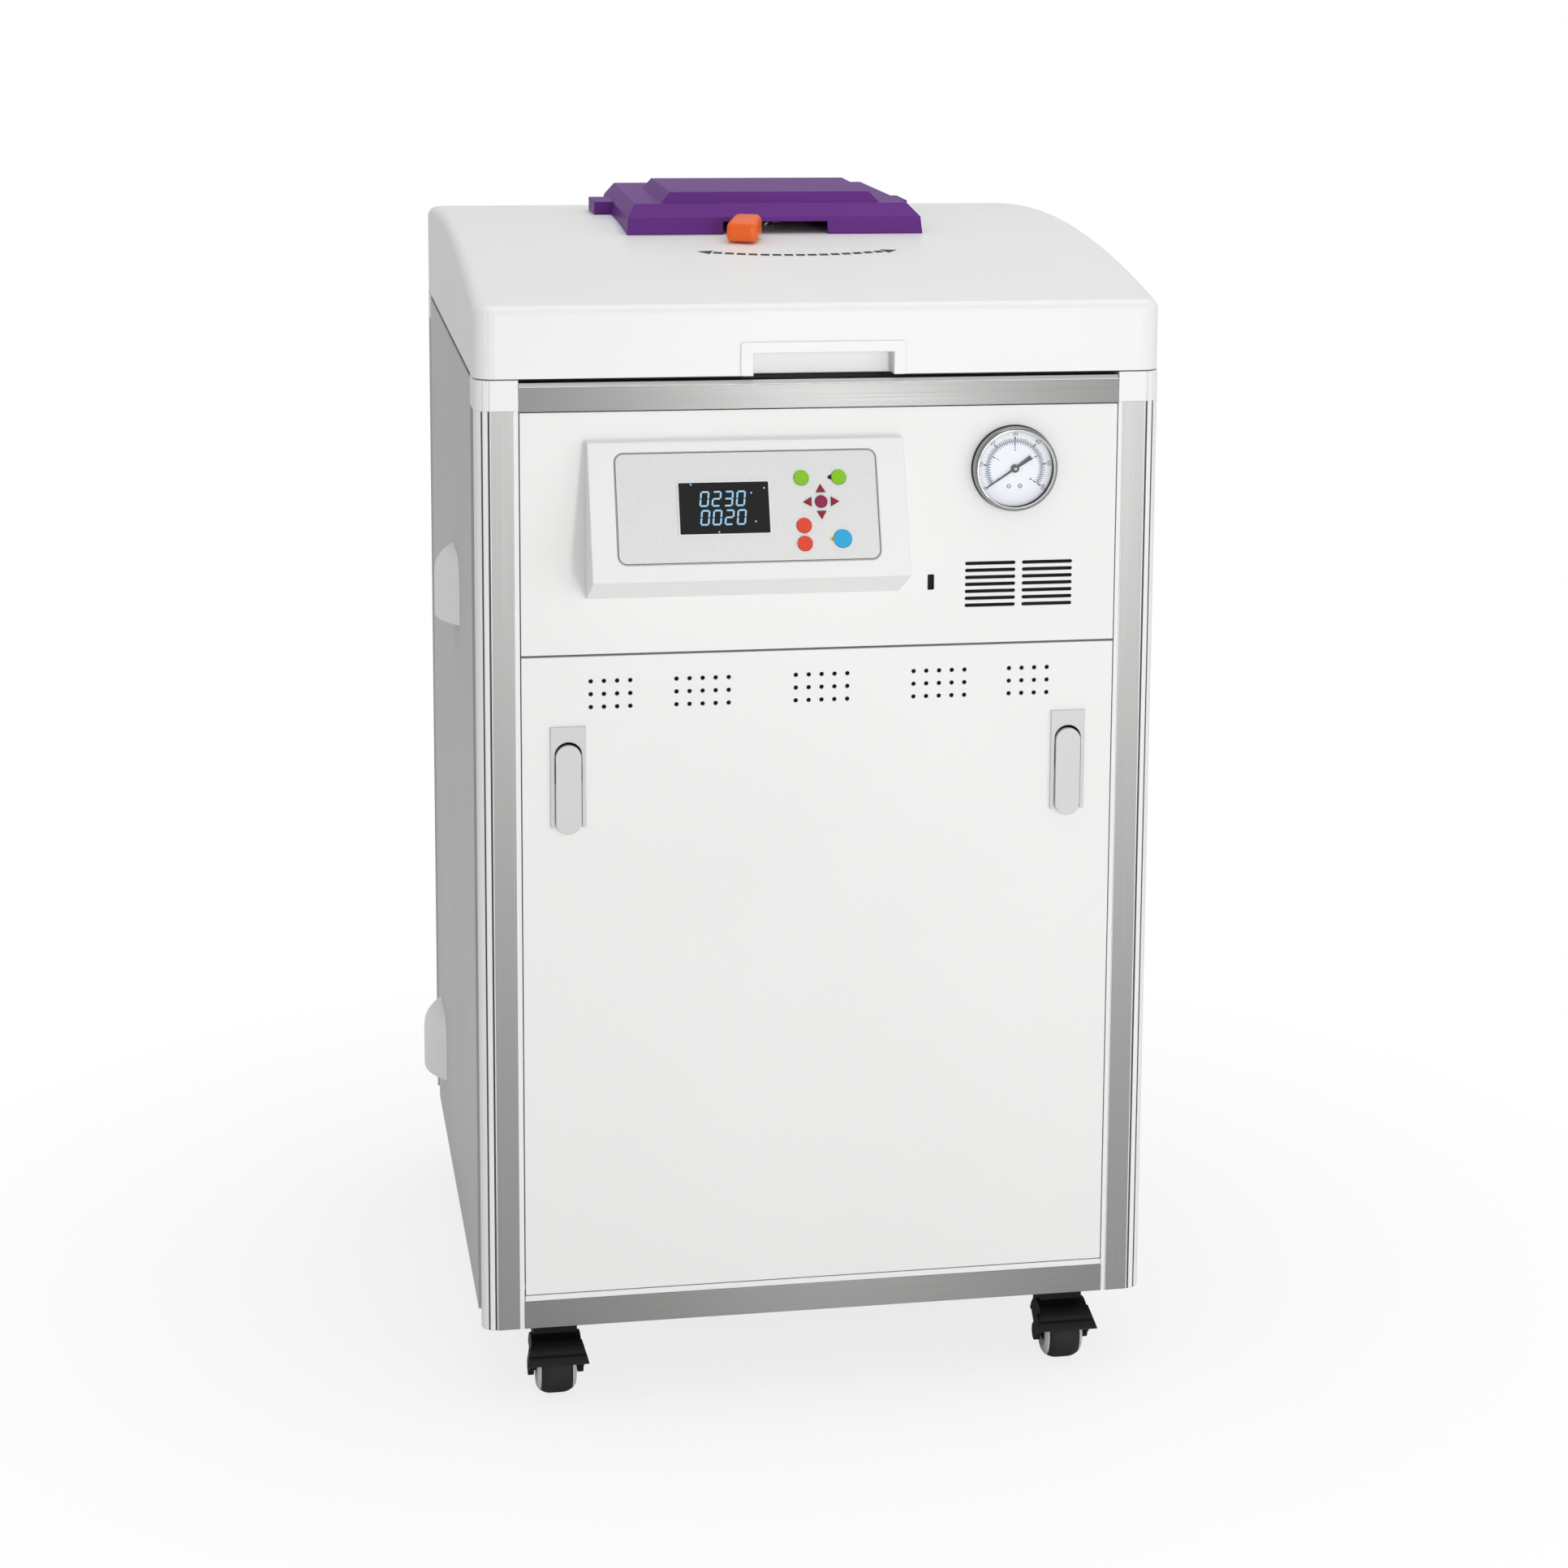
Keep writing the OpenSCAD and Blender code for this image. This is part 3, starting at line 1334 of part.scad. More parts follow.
module cheek(x) {
    translate([x, -caster_trail, axle_h]) rotate([90, 0, 90]) linear_extrude(fender_t)
        polygon([[-cheek_low, 0], [cheek_low, 0], [cheek_top, hood_end], [cheek_top, hood_end + fender_t],
            [-cheek_top, hood_end + fender_t], [-cheek_top, hood_end]]);
}
module caster_fork(sx, sy) {
    half = wheel_w / 2 + fender_gap;
    outer = wheel_r + fender_gap + fender_t;
    color("black") at_caster(sx, sy) difference() {
        union() {
            intersection() {
                difference() {
                    across(-half - fender_t, outer, 2 * (half + fender_t));
                    across(-half, wheel_r + fender_gap, 2 * half);
                }
                translate([-2 * outer, -2 * outer - caster_trail, axle_h + hood_end])
                    cube([4 * outer, 4 * outer, -axle_h - hood_end - plate_t - seat]);
            }
            for (x = [-half - fender_t, half]) {
                cheek(x);
                across(x, 2 * caster_axle_r, fender_t);
            }
            across(-half - fender_t, caster_axle_r, 2 * (half + fender_t));
            translate([0, 0, -plate_t - seat - hub_top_l]) cylinder(r = hub_top_r, h = hub_top_l);
            translate([-hub_top_r, -caster_trail, -plate_t - seat - hub_top_l])
                cube([2 * hub_top_r, caster_trail, hub_top_l]);
            across(-half - fender_t - pedal_arm - seat, caster_axle_r,
                2 * (half + fender_t + pedal_arm + seat));
        }
        translate([0, 0, -plate_t - king_l - seat]) cylinder(r = king_r + play, h = 2 * king_l);
        difference() {
            across(-half, wheel_r + fender_gap, 2 * half);
            across(-half - over, caster_axle_r, 2 * half + 2 * over);
        }
    }
}
hub_r_share = 0.55;
hub_sink = 1.5;
shoulder_w = 5;
shoulder_drop = 8;
module caster_wheel(sx, sy) {
    color("dimgray") at_caster(sx, sy) translate([-wheel_w / 2, -caster_trail, axle_h]) rotate([0, 90, 0])
        difference() {
            union() {
                translate([0, 0, shoulder_w]) cylinder(r = wheel_r, h = wheel_w - 2 * shoulder_w);
                cylinder(r1 = wheel_r - shoulder_drop, r2 = wheel_r, h = shoulder_w);
                translate([0, 0, wheel_w - shoulder_w])
                    cylinder(r1 = wheel_r, r2 = wheel_r - shoulder_drop, h = shoulder_w);
            }
            for (z = [-over, wheel_w - hub_sink]) translate([0, 0, z]) difference() {
                cylinder(r = wheel_r * hub_r_share, h = hub_sink + over);
                cylinder(r = 2 * caster_axle_r, h = hub_sink + over);
            }
            translate([0, 0, -over]) cylinder(r = caster_axle_r + play, h = wheel_w + 2 * over);
        }
}
pedal_w = 56;
pedal_t = 2.5;
pedal_arm = 2.5;
pedal_up = 28;
pedal_low = 10;
pedal_in = 14;
pedal_lip = 7;
pedal_knee = 16;
// The pedal turns on the axle's ends, and its plate lies over the front of the fork's hood
module brake_pedal(sx, sy) {
    half = wheel_w / 2 + fender_gap + fender_t + seat / 2;
    inner = wheel_r + fender_gap + fender_t + seat;
    far = 8 * inner;
    color("black") at_caster(sx, sy) difference() {
        union() {
            difference() {
                across(-half - pedal_arm, inner + pedal_t, 2 * (half + pedal_arm));
                across(-half, inner, 2 * half);
                translate([0, -caster_trail, axle_h]) {
                    translate([-pedal_w, -pedal_in, -far]) cube([2 * pedal_w, far, 2 * far]);
                    translate([-pedal_w, -far, pedal_up]) cube([2 * pedal_w, 2 * far, far]);
                    translate([-pedal_w, -far, pedal_low - far]) cube([2 * pedal_w, 2 * far, far]);
                }
            }
            for (x = [-half - pedal_arm, half]) {
                across(x, 2 * caster_axle_r, pedal_arm);
                translate([x, -caster_trail, axle_h]) rotate([90, 0, 90]) linear_extrude(pedal_arm)
                    polygon([[-cheek_low, 0], [cheek_low / 2, 0], [-pedal_in, pedal_knee],
                        [-inner, pedal_knee], [-inner, pedal_low]]);
            }
            translate([-pedal_w / 2, -caster_trail - inner - pedal_lip, axle_h + pedal_low])
                cube([pedal_w, pedal_lip + pedal_t / 2, pedal_t]);
        }
        across(-half - 2 * pedal_arm, caster_axle_r + play, 4 * half);
    }
}
module caster_fork_fl() { caster_fork(-1, -1); }
module caster_fork_fr() { caster_fork(1, -1); }
module caster_fork_rl() { caster_fork(-1, 1); }
module caster_fork_rr() { caster_fork(1, 1); }
module caster_wheel_fl() { caster_wheel(-1, -1); }
module caster_wheel_fr() { caster_wheel(1, -1); }
module caster_wheel_rl() { caster_wheel(-1, 1); }
module caster_wheel_rr() { caster_wheel(1, 1); }
module brake_pedal_fl() { brake_pedal(-1, -1); }
module brake_pedal_fr() { brake_pedal(1, -1); }

base_frame();
deck_frame();
corner_posts();
corner_caps();
front_rails();
side_panels();
vent_hoods();
rear_panel();
top_deck();
control_panel();
control_console();
keypad_plate();
gauge_case();
gauge_dial();
gauge_lens();
gauge_needle();
chamber();
chamber_flange();
insulation_jacket();
heater();
heater_guard();
basket();
pipework();
exhaust_bottle();
cable_gland();
caster_plates();
key_green_left();
key_green_right();
key_up();
key_down();
key_left();
key_right();
key_centre();
key_red_upper();
key_red_lower();
key_blue();
front_panel();
latch_plates();
latch_paddle_left();
latch_paddle_right();
lid_hood();
hood_handle();
lid_frame();
door_plate();
door_gasket();
lock_cover();
lock_lever();
lever_knob();
lock_bolt_left();
lock_bolt_right();
caster_fork_fl();
caster_fork_fr();
caster_fork_rl();
caster_fork_rr();
caster_wheel_fl();
caster_wheel_fr();
caster_wheel_rl();
caster_wheel_rr();
brake_pedal_fl();
brake_pedal_fr();
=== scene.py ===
# %% [markdown]
# # A vertical autoclave, dressed for a studio picture
# The machine is a laboratory steam steriliser: a white cabinet on casters, with an arched lid
# that lifts at the front. Its parts come from the CAD frame, so every place is already right.
# This file adds the finishes, the printed marks and the few forms that look better when
# Blender models them.

# %% Load the frame
import bpy
import bmesh
from math import sin, cos, pi, radians
from mathutils import Matrix, Vector


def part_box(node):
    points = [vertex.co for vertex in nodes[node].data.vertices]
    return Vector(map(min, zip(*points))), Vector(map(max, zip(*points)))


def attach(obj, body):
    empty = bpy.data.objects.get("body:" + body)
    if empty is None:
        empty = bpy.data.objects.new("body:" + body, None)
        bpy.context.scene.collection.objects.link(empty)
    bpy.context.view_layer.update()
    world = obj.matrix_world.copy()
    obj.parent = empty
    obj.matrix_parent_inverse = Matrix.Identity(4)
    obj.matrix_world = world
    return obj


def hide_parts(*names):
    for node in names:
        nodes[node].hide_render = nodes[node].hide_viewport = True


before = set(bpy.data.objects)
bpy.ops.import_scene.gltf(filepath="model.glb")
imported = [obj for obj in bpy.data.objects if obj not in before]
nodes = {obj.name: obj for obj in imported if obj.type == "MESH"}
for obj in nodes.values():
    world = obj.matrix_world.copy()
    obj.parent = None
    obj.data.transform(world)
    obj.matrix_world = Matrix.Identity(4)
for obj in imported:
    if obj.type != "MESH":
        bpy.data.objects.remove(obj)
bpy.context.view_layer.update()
print("nodes in the frame:", len(nodes))

# %% [markdown]
# Sizes are written in millimetres, as on a drawing, and turned to metres in one place. The
# posts give the cabinet's front, its width and its base, and everything else is counted from
# there: a depth behind the front, and a height over the base.

# %% Places in the cabinet
MM = 0.001
posts_low, posts_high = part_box("corner_posts")
front_y = posts_low.y
base_z = posts_low.z
half_width = posts_high.x
half_depth = (posts_high.y - posts_low.y) / 2
cabinet_middle = (posts_high.y + posts_low.y) / 2


def place(x, depth, height):
    """A point of the cabinet in metres, from millimetres."""
    return Vector((x * MM, front_y + depth * MM, base_z + height * MM))


print("cabinet", round(2 * half_width / MM), "mm wide, base at", round(base_z / MM), "mm")

# %% [markdown]
# The camera stands a little left of the middle and a little above the lid, as in the photo.
# Its place, turn and focal length come from a fit of the cabinet's corners. The photo was
# cropped from a wider one, so the lens is shifted a little.

# %% Camera
IMAGE = 1932
SENSOR = 36.0
focal_px = 4446.8
centre_px = (1193.1, 600.7)
cam_place = place(-514.0, -3095.8, 1303.9)
cam_yaw, cam_pitch, cam_roll = radians(11.764), radians(9.724), radians(0.793)

ahead = Vector((sin(cam_yaw) * cos(cam_pitch), cos(cam_yaw) * cos(cam_pitch), -sin(cam_pitch)))
level = Vector((cos(cam_yaw), -sin(cam_yaw), 0))
upward = level.cross(ahead)
cam_right = cos(cam_roll) * level + sin(cam_roll) * upward
cam_up = cos(cam_roll) * upward - sin(cam_roll) * level
cam_turn = Matrix((cam_right, cam_up, -ahead)).transposed().to_4x4()

camera_data = bpy.data.cameras.new("studio_camera")
camera_data.sensor_width = SENSOR
camera_data.lens = focal_px / IMAGE * SENSOR
camera_data.shift_x = (IMAGE / 2 - centre_px[0]) / IMAGE
camera_data.shift_y = (centre_px[1] - IMAGE / 2) / IMAGE
camera = bpy.data.objects.new("studio_camera", camera_data)
camera.matrix_world = Matrix.Translation(cam_place) @ cam_turn
bpy.context.scene.collection.objects.link(camera)
bpy.context.scene.camera = camera
print("lens", round(camera_data.lens, 1), "mm, shift",
      round(camera_data.shift_x, 3), round(camera_data.shift_y, 3))

# %% [markdown]
# Colours are picked as sRGB hex values, the way a paint chart lists them, and one function
# turns them to the linear values that the shaders work in. One more function adds a node
# with its settings and its links, so a material reads as a short list of steps. Nearly every
# finish ends in the same way: a pattern leads its colour from one tone to another, and its
# gloss from one value to another, so those last steps are written once.

# %% Colour and node helpers
# A mix node's two colour sockets and its colour output, which names can't tell apart
MIX_ONE, MIX_OTHER, MIX_OUT = 6, 7, 2


def paint(hex_value):
    """An sRGB hex colour as a linear RGBA value."""
    parts = [int(hex_value[i:i + 2], 16) / 255 for i in (1, 3, 5)]
    return [p / 12.92 if p <= 0.04045 else ((p + 0.055) / 1.055) ** 2.4 for p in parts] + [1.0]


def add_node(tree, kind, settings=None, links=None):
    """Adds a node, sets its properties or sockets, and links its inputs to other outputs."""
    node = tree.nodes.new(kind)
    for name, value in (settings or {}).items():
        if isinstance(name, str) and hasattr(node, name):
            setattr(node, name, value)
        else:
            node.inputs[name].default_value = value
    for name, source in (links or {}).items():
        tree.links.new(source, node.inputs[name])
    return node


def new_finish(name):
    """An empty material with its Principled shader and the object's own coordinates."""
    material = bpy.data.materials.new(name)
    material.use_nodes = True
    tree = material.node_tree
    tree.nodes.clear()
    shader = add_node(tree, "ShaderNodeBsdfPrincipled")
    add_node(tree, "ShaderNodeOutputMaterial", links={"Surface": shader.outputs[0]})
    where = add_node(tree, "ShaderNodeTexCoord").outputs["Object"]
    return material, tree, shader, where


def lay_surface(tree, shader, tones, gloss, pattern, normal=None, gloss_pattern=None):
    """Leads the colour between two tones, and the roughness between two values."""
    tone = add_node(tree, "ShaderNodeMix", {"data_type": "RGBA", MIX_ONE: paint(tones[0]),
                                            MIX_OTHER: paint(tones[1])}, {0: pattern})
    rough = add_node(tree, "ShaderNodeMapRange", {"To Min": gloss[0], "To Max": gloss[1]},
                     {0: gloss_pattern or pattern})
    tree.links.new(tone.outputs[MIX_OUT], shader.inputs["Base Color"])
    tree.links.new(rough.outputs[0], shader.inputs["Roughness"])
    if normal:
        tree.links.new(normal, shader.inputs["Normal"])
    return tone.outputs[MIX_OUT]


print("white paint in linear values:", [round(part, 3) for part in paint("#f1f1f0")[:3]])

# %% [markdown]
# **Powder coat.** The sheet metal is steel with a baked powder coat. The powder melts and
# flows, which leaves a satin surface with a faint orange peel about 2 mm across. The bump is
# kept very low, since it only shows in the reflections, and a bevel of under a millimetre
# catches the light on the folded edges. The coat is not quite even, so its tone and gloss
# drift over a hand's breadth or two.

# %% Powder coat
PEEL = 2.0 * MM
FOLD = 0.9 * MM
CLOUD = 250 * MM


def rounded_normal(tree, radius, height, strength, distance):
    """The normal of a softened edge, with a bump on it."""
    soft = add_node(tree, "ShaderNodeBevel", {"samples": 4, "Radius": radius}).outputs[0]
    return add_node(tree, "ShaderNodeBump", {"Strength": strength, "Distance": distance},
                    {"Height": height, "Normal": soft}).outputs[0]


def powder_coat(name, colour, shade, roughness=0.38):
    material, tree, shader, where = new_finish(name)
    peel = add_node(tree, "ShaderNodeTexNoise", {"Scale": 1 / PEEL, "Detail": 2.0},
                    {"Vector": where}).outputs[0]
    cloud = add_node(tree, "ShaderNodeTexNoise", {"Scale": 1 / CLOUD, "Detail": 3.0},
                     {"Vector": where}).outputs[0]
    lay_surface(tree, shader, (colour, shade), (roughness - 0.05, roughness + 0.06), cloud,
                rounded_normal(tree, FOLD, peel, 0.12, 0.1 * MM))
    shader.inputs["IOR"].default_value = 1.5
    return material


white_coat = powder_coat("white_powder_coat", "#f1f1f0", "#ecebea")
grey_coat = powder_coat("grey_powder_coat", "#c4c4c3", "#bcbcbb", 0.42)
dark_coat = powder_coat("dark_primer", "#62656a", "#575a5e", 0.55)
enamel = powder_coat("white_enamel", "#f8fbff", "#f1f5fd", 0.3)
print("powder coats:", white_coat.name, grey_coat.name, dark_coat.name, enamel.name)

# %% [markdown]
# **Moulded ABS.** The lid hood, the console and the caps are thick ABS mouldings. The mould
# is finely spark-eroded, so the gloss is broken up by a grain of a few tenths of a millimetre.
# That grain is too fine for the render and is drawn at 0.8 mm. A slow waviness of the sink
# marks keeps the large faces from looking like glass. The purple cover and the black nylon of
# the forks show almost no glare in the photo, so their surface reflection is turned down.

# %% Moulded ABS
GRAIN = 0.8 * MM
SINK_WAVES = 7.0  # in one metre
SINK_DEPTH = 6.0  # against the grain's


def moulded_abs(name, colour, shade, roughness=0.36, edge=1.2 * MM, sheen=0.5):
    """Moulded plastic; sheen is the level of its surface reflection, 0.5 for a plain one."""
    material, tree, shader, where = new_finish(name)
    grain = add_node(tree, "ShaderNodeTexNoise", {"Scale": 1 / GRAIN, "Detail": 1.0},
                     {"Vector": where}).outputs[0]
    sink = add_node(tree, "ShaderNodeTexNoise", {"Scale": SINK_WAVES, "Detail": 2.0},
                    {"Vector": where}).outputs[0]
    height = add_node(tree, "ShaderNodeMath", {"operation": "MULTIPLY_ADD", 1: SINK_DEPTH},
                      {0: sink, 2: grain}).outputs[0]
    lay_surface(tree, shader, (colour, shade), (roughness - 0.04, roughness + 0.05), sink,
                rounded_normal(tree, edge, height, 0.1, 0.1 * MM), grain)
    shader.inputs["IOR"].default_value = 1.53
    shader.inputs["Specular IOR Level"].default_value = sheen
    return material


white_abs = moulded_abs("white_abs", "#f2f2f1", "#eeeeed")
purple_abs = moulded_abs("purple_abs", "#6d3a8a", "#643481", 0.3, 1.5 * MM, 0.01)
orange_abs = moulded_abs("orange_abs", "#f66a20", "#ee631b", 0.34, 0.8 * MM, 0.35)
grey_abs = moulded_abs("grey_abs", "#d8d8d7", "#cfcfce", 0.34, 0.8 * MM)
black_nylon = moulded_abs("black_nylon", "#101110", "#0b0c0b", 0.45, 0.8 * MM, 0.3)
print("mouldings:", white_abs.name, purple_abs.name, orange_abs.name, grey_abs.name)

# %% [markdown]
# ** Posts and rails.** They are aluminium extrusions, satin etched and anodised, so drawn
# lines a few tenths of a millimetre apart run along them. The lines are drawn four times
# coarser than real. Across such lines a highlight spreads wide and along them it stays
# narrow, which the rails get from the anisotropy. The round outer corner of a post is a white
# trim. Its flutes and the first part of the recess behind it are coloured dark grey as painted
# shade, the rest of the recess is pale grey, and the inner lip is white. One node holds them
# all, so the material tells them apart by how far they lie from the middle of the rounding.

# %% Anodised extrusions
DRAW_LINE = 0.35 * MM
COARSER = 4
LENGTHWISE = 3.0
POST_R = 14.0 * MM
TRIM_AT = half_width - POST_R
LIP_AT = half_width - 33.6 * MM
# How far under the rounding the flutes' painted shade begins
FLUTE_SHADE_DEPTH = 0.25 * MM
GROOVE_WIDE = 17.0 * MM
# The dark grey is painted shade for the flutes and the groove behind the trim
TRIM_WHITE, FLUTE_SHADE_GREY, RECESS_GREY = "#efefee", "#4b4c4e", "#c4c4c3"


def drawn_lines(tree, where, stretch):
    """The fine lines that a die or a brush leaves: noise scaled by its own value on each axis."""
    scaled = add_node(tree, "ShaderNodeMapping", {"Scale": stretch}, {"Vector": where})
    return add_node(tree, "ShaderNodeTexNoise", {"Scale": 1.0, "Detail": 3.0},
                    {"Vector": scaled.outputs[0]}).outputs[0]


def above(tree, value, limit):
    """1 where a value is over the limit and 0 elsewhere."""
    return add_node(tree, "ShaderNodeMath", {"operation": "GREATER_THAN", 1: limit},
                    {0: value}).outputs[0]


def below(tree, value, limit):
    """1 where a value is under the limit and 0 elsewhere."""
    return add_node(tree, "ShaderNodeMath", {"operation": "LESS_THAN", 1: limit},
                    {0: value}).outputs[0]


def both(tree, one, other):
    return add_node(tree, "ShaderNodeMath", {"operation": "MULTIPLY"},
                    {0: one, 1: other}).outputs[0]


def covered(tree, colour, cover, share):
    """A colour with a cover colour over it where the share is 1."""
    return add_node(tree, "ShaderNodeMix", {"data_type": "RGBA", MIX_OTHER: paint(cover)},
                    {0: share, MIX_ONE: colour}).outputs[MIX_OUT]


def extrusion(name, across, colour, shade):
    """Anodised aluminium whose drawn lines vary along the axis given by across."""
    material, tree, shader, where = new_finish(name)
    stretch = [LENGTHWISE] * 3
    stretch[across] = 1 / DRAW_LINE / COARSER
    lines = drawn_lines(tree, where, stretch)
    metal = lay_surface(tree, shader, (colour, shade), (0.3, 0.42), lines,
                        rounded_normal(tree, 0.6 * MM, lines, 0.15, 0.05 * MM))
    shader.inputs["Metallic"].default_value = 1.0
    return material, tree, shader, where, metal


def trimmed_post():
    """The post's extrusion with its white trim, painted shade in its flutes and groove, and its
    lip.
    """
    material, tree, shader, where, metal = extrusion("anodised_post", 0, "#a0a09f", "#949493")
    apart = add_node(tree, "ShaderNodeSeparateXYZ", links={0: where})
    out = add_node(tree, "ShaderNodeMath", {"operation": "ABSOLUTE"},
                   {0: apart.outputs[0]}).outputs[0]
    front = add_node(tree, "ShaderNodeMath", {"operation": "MULTIPLY_ADD", 1: -1.0,
                                              2: cabinet_middle}, {0: apart.outputs[1]})
    from_middle = add_node(tree, "ShaderNodeMath", {"operation": "ABSOLUTE"},
                           {0: front.outputs[0]}).outputs[0]
    across = add_node(tree, "ShaderNodeMath", {"operation": "SUBTRACT", 1: TRIM_AT},
                      {0: out}).outputs[0]
    forward = add_node(tree, "ShaderNodeMath", {"operation": "SUBTRACT",
                                                1: half_depth - POST_R},
                       {0: from_middle}).outputs[0]
    turn = add_node(tree, "ShaderNodeCombineXYZ", links={0: across, 1: forward})
    reach = add_node(tree, "ShaderNodeVectorMath", {"operation": "LENGTH"},
                     {0: turn.outputs[0]}).outputs[1]
    trim = above(tree, out, TRIM_AT)
    # Painted shade: the flutes and the first part of the recess are coloured dark grey
    flute_shade = both(tree, both(tree, trim, above(tree, forward, 0.0)),
                below(tree, reach, POST_R - FLUTE_SHADE_DEPTH))
    groove_shade = both(tree, both(tree, trim, below(tree, forward, 0.0)),
                  above(tree, forward, -GROOVE_WIDE))
    recess = both(tree, trim, below(tree, forward, -GROOVE_WIDE))
    pale = add_node(tree, "ShaderNodeMath", {"operation": "MAXIMUM"},
                    {0: trim, 1: below(tree, out, LIP_AT)}).outputs[0]
    colour = metal
    for cover, share in ((TRIM_WHITE, pale), (FLUTE_SHADE_GREY, flute_shade), (FLUTE_SHADE_GREY, groove_shade),
                         (RECESS_GREY, recess)):
        colour = covered(tree, colour, cover, share)
    bare = add_node(tree, "ShaderNodeMath", {"operation": "SUBTRACT", 0: 1.0}, {1: pale})
    tree.links.new(colour, shader.inputs["Base Color"])
    tree.links.new(bare.outputs[0], shader.inputs["Metallic"])
    return material


def drawn_rail():
    """The rails' extrusion, whose lines run across the machine."""
    material, tree, shader, _, _ = extrusion("anodised_rail", 2, "#8a8a89", "#7e7e7d")
    shader.inputs["Anisotropic"].default_value = 0.85
    shader.inputs["Anisotropic Rotation"].default_value = 0.25
    along = add_node(tree, "ShaderNodeTangent", {"direction_type": "RADIAL", "axis": "Z"})
    tree.links.new(along.outputs[0], shader.inputs["Tangent"])
    return material


post_finish = trimmed_post()
rail_finish = drawn_rail()
print("extrusions:", post_finish.name, rail_finish.name)

# %% [markdown]
# **Stainless steel and other metals.** The chamber, the door and the basket are brushed
# stainless sheet. The brush leaves lines about 0.3 mm apart, drawn four times coarser here;
# round parts are brushed on a lathe, so their lines run round the axis, which a pattern that
# changes with the height gives. The gauge's bezel is polished, so it has almost no lines and
# a low roughness. Zinc plate, brass and the heater's sheath are duller, with an even grain.

# %% Stainless and other metals
BRUSH = 0.3 * MM


def brushed_metal(name, colour, shade, roughness=0.3, stretch=(20.0, 20.0, 1 / BRUSH / COARSER)):
    material, tree, shader, where = new_finish(name)
    lines = drawn_lines(tree, where, stretch)
    lay_surface(tree, shader, (colour, shade), (roughness - 0.07, roughness + 0.08), lines,
                rounded_normal(tree, 0.5 * MM, lines, 0.12, 0.05 * MM))
    shader.inputs["Metallic"].default_value = 1.0
    return material


stainless = brushed_metal("brushed_stainless", "#cfcfcd", "#bdbdbb")
bezel_chrome = brushed_metal("polished_bezel", "#a4a4a6", "#98989a", 0.13, [30.0] * 3)
zinc = brushed_metal("zinc_plate", "#b9bcc0", "#a6a9ad", 0.38, [60.0] * 3)
brass = brushed_metal("plain_brass", "#c8a862", "#b89651", 0.34, [80.0] * 3)
sheath = brushed_metal("heater_sheath", "#7d766f", "#5d5751", 0.5, [80.0] * 3)
print("metals:", stainless.name, bezel_chrome.name, zinc.name, brass.name, sheath.name)

# %% [markdown]
# **The silver film of the keypad.** It is a screen-printed polycarbonate film on a plate. Its
# ink holds fine aluminium flakes, which sparkle a little: a fine cell pattern varies the tone
# and the gloss. Flakes are far finer than a pixel and are drawn at 0.9 mm. The film lies on
# the console's sloping face, so this cell also gives the points of that face.

# %% Silver film and the sloping face
TILT = radians(22)
FACE_TOP = place(0, -12, 810)
FLAKE = 0.9 * MM


def on_face(x, v, out=0.0):
    """A point on the console's face: x across, v down from its upper edge, out of it."""
    down = Vector((0, -sin(TILT), -cos(TILT)))
    away = Vector((0, -cos(TILT), sin(TILT)))
    return Vector((x * MM, FACE_TOP.y, FACE_TOP.z)) + down * v * MM + away * out * MM


def silver_film():
    material, tree, shader, where = new_finish("silver_printed_film")
    flakes = add_node(tree, "ShaderNodeTexVoronoi", {"Scale": 1 / FLAKE}, {"Vector": where})
    lay_surface(tree, shader, ("#e9e9e8", "#dfdfdf"), (0.34, 0.5), flakes.outputs["Color"])
    shader.inputs["Metallic"].default_value = 0.25
    return material


film = silver_film()
print("film flakes", round(FLAKE / MM, 2), "mm")

# %% [markdown]
# **Inks, rubber, felt and films.** The last finishes are small: printing inks with a soft
# mottle, the keys' glossy films, the tyres' rubber with a dusty tread, the orange silicone of
# the gasket, the milky bottle and the glass-fibre felt round the chamber. They differ in
# colour, in gloss and in the size of their grain, so one function makes them all. The
# display's figures glow, and a fine mottle makes their light a little uneven.

# %% Inks, rubber, felt, films


def soft_finish(name, colour, shade, roughness, size, bump=0.1):
    """A plain material whose colour, gloss and surface vary at the given real size."""
    material, tree, shader, where = new_finish(name)
    grain = add_node(tree, "ShaderNodeTexNoise", {"Scale": 1 / size, "Detail": 4.0},
                     {"Vector": where}).outputs[0]
    lay_surface(tree, shader, (colour, shade), (roughness - 0.06, roughness + 0.06), grain,
                rounded_normal(tree, 0.5 * MM, grain, bump, 0.2 * MM))
    shader.inputs["IOR"].default_value = 1.5
    return material


def key_film(name, colour, shade):
    """A key's film: glossy and almost flat."""
    return soft_finish(name, colour, shade, 0.28, 3 * MM, 0.05)


def glowing(name, colour, strength):
    """A lit figure on dark glass, whose light varies by a fifth."""
    material, tree, shader, where = new_finish(name)
    spots = add_node(tree, "ShaderNodeTexNoise", {"Scale": 900.0}, {"Vector": where})
    light = add_node(tree, "ShaderNodeMapRange", {"To Min": strength * 0.8,
                                                  "To Max": strength * 1.2},
                     {0: spots.outputs[0]})
    shader.inputs["Base Color"].default_value = paint("#10161c")
    shader.inputs["Emission Color"].default_value = paint(colour)
    tree.links.new(light.outputs[0], shader.inputs["Emission Strength"])
    return material


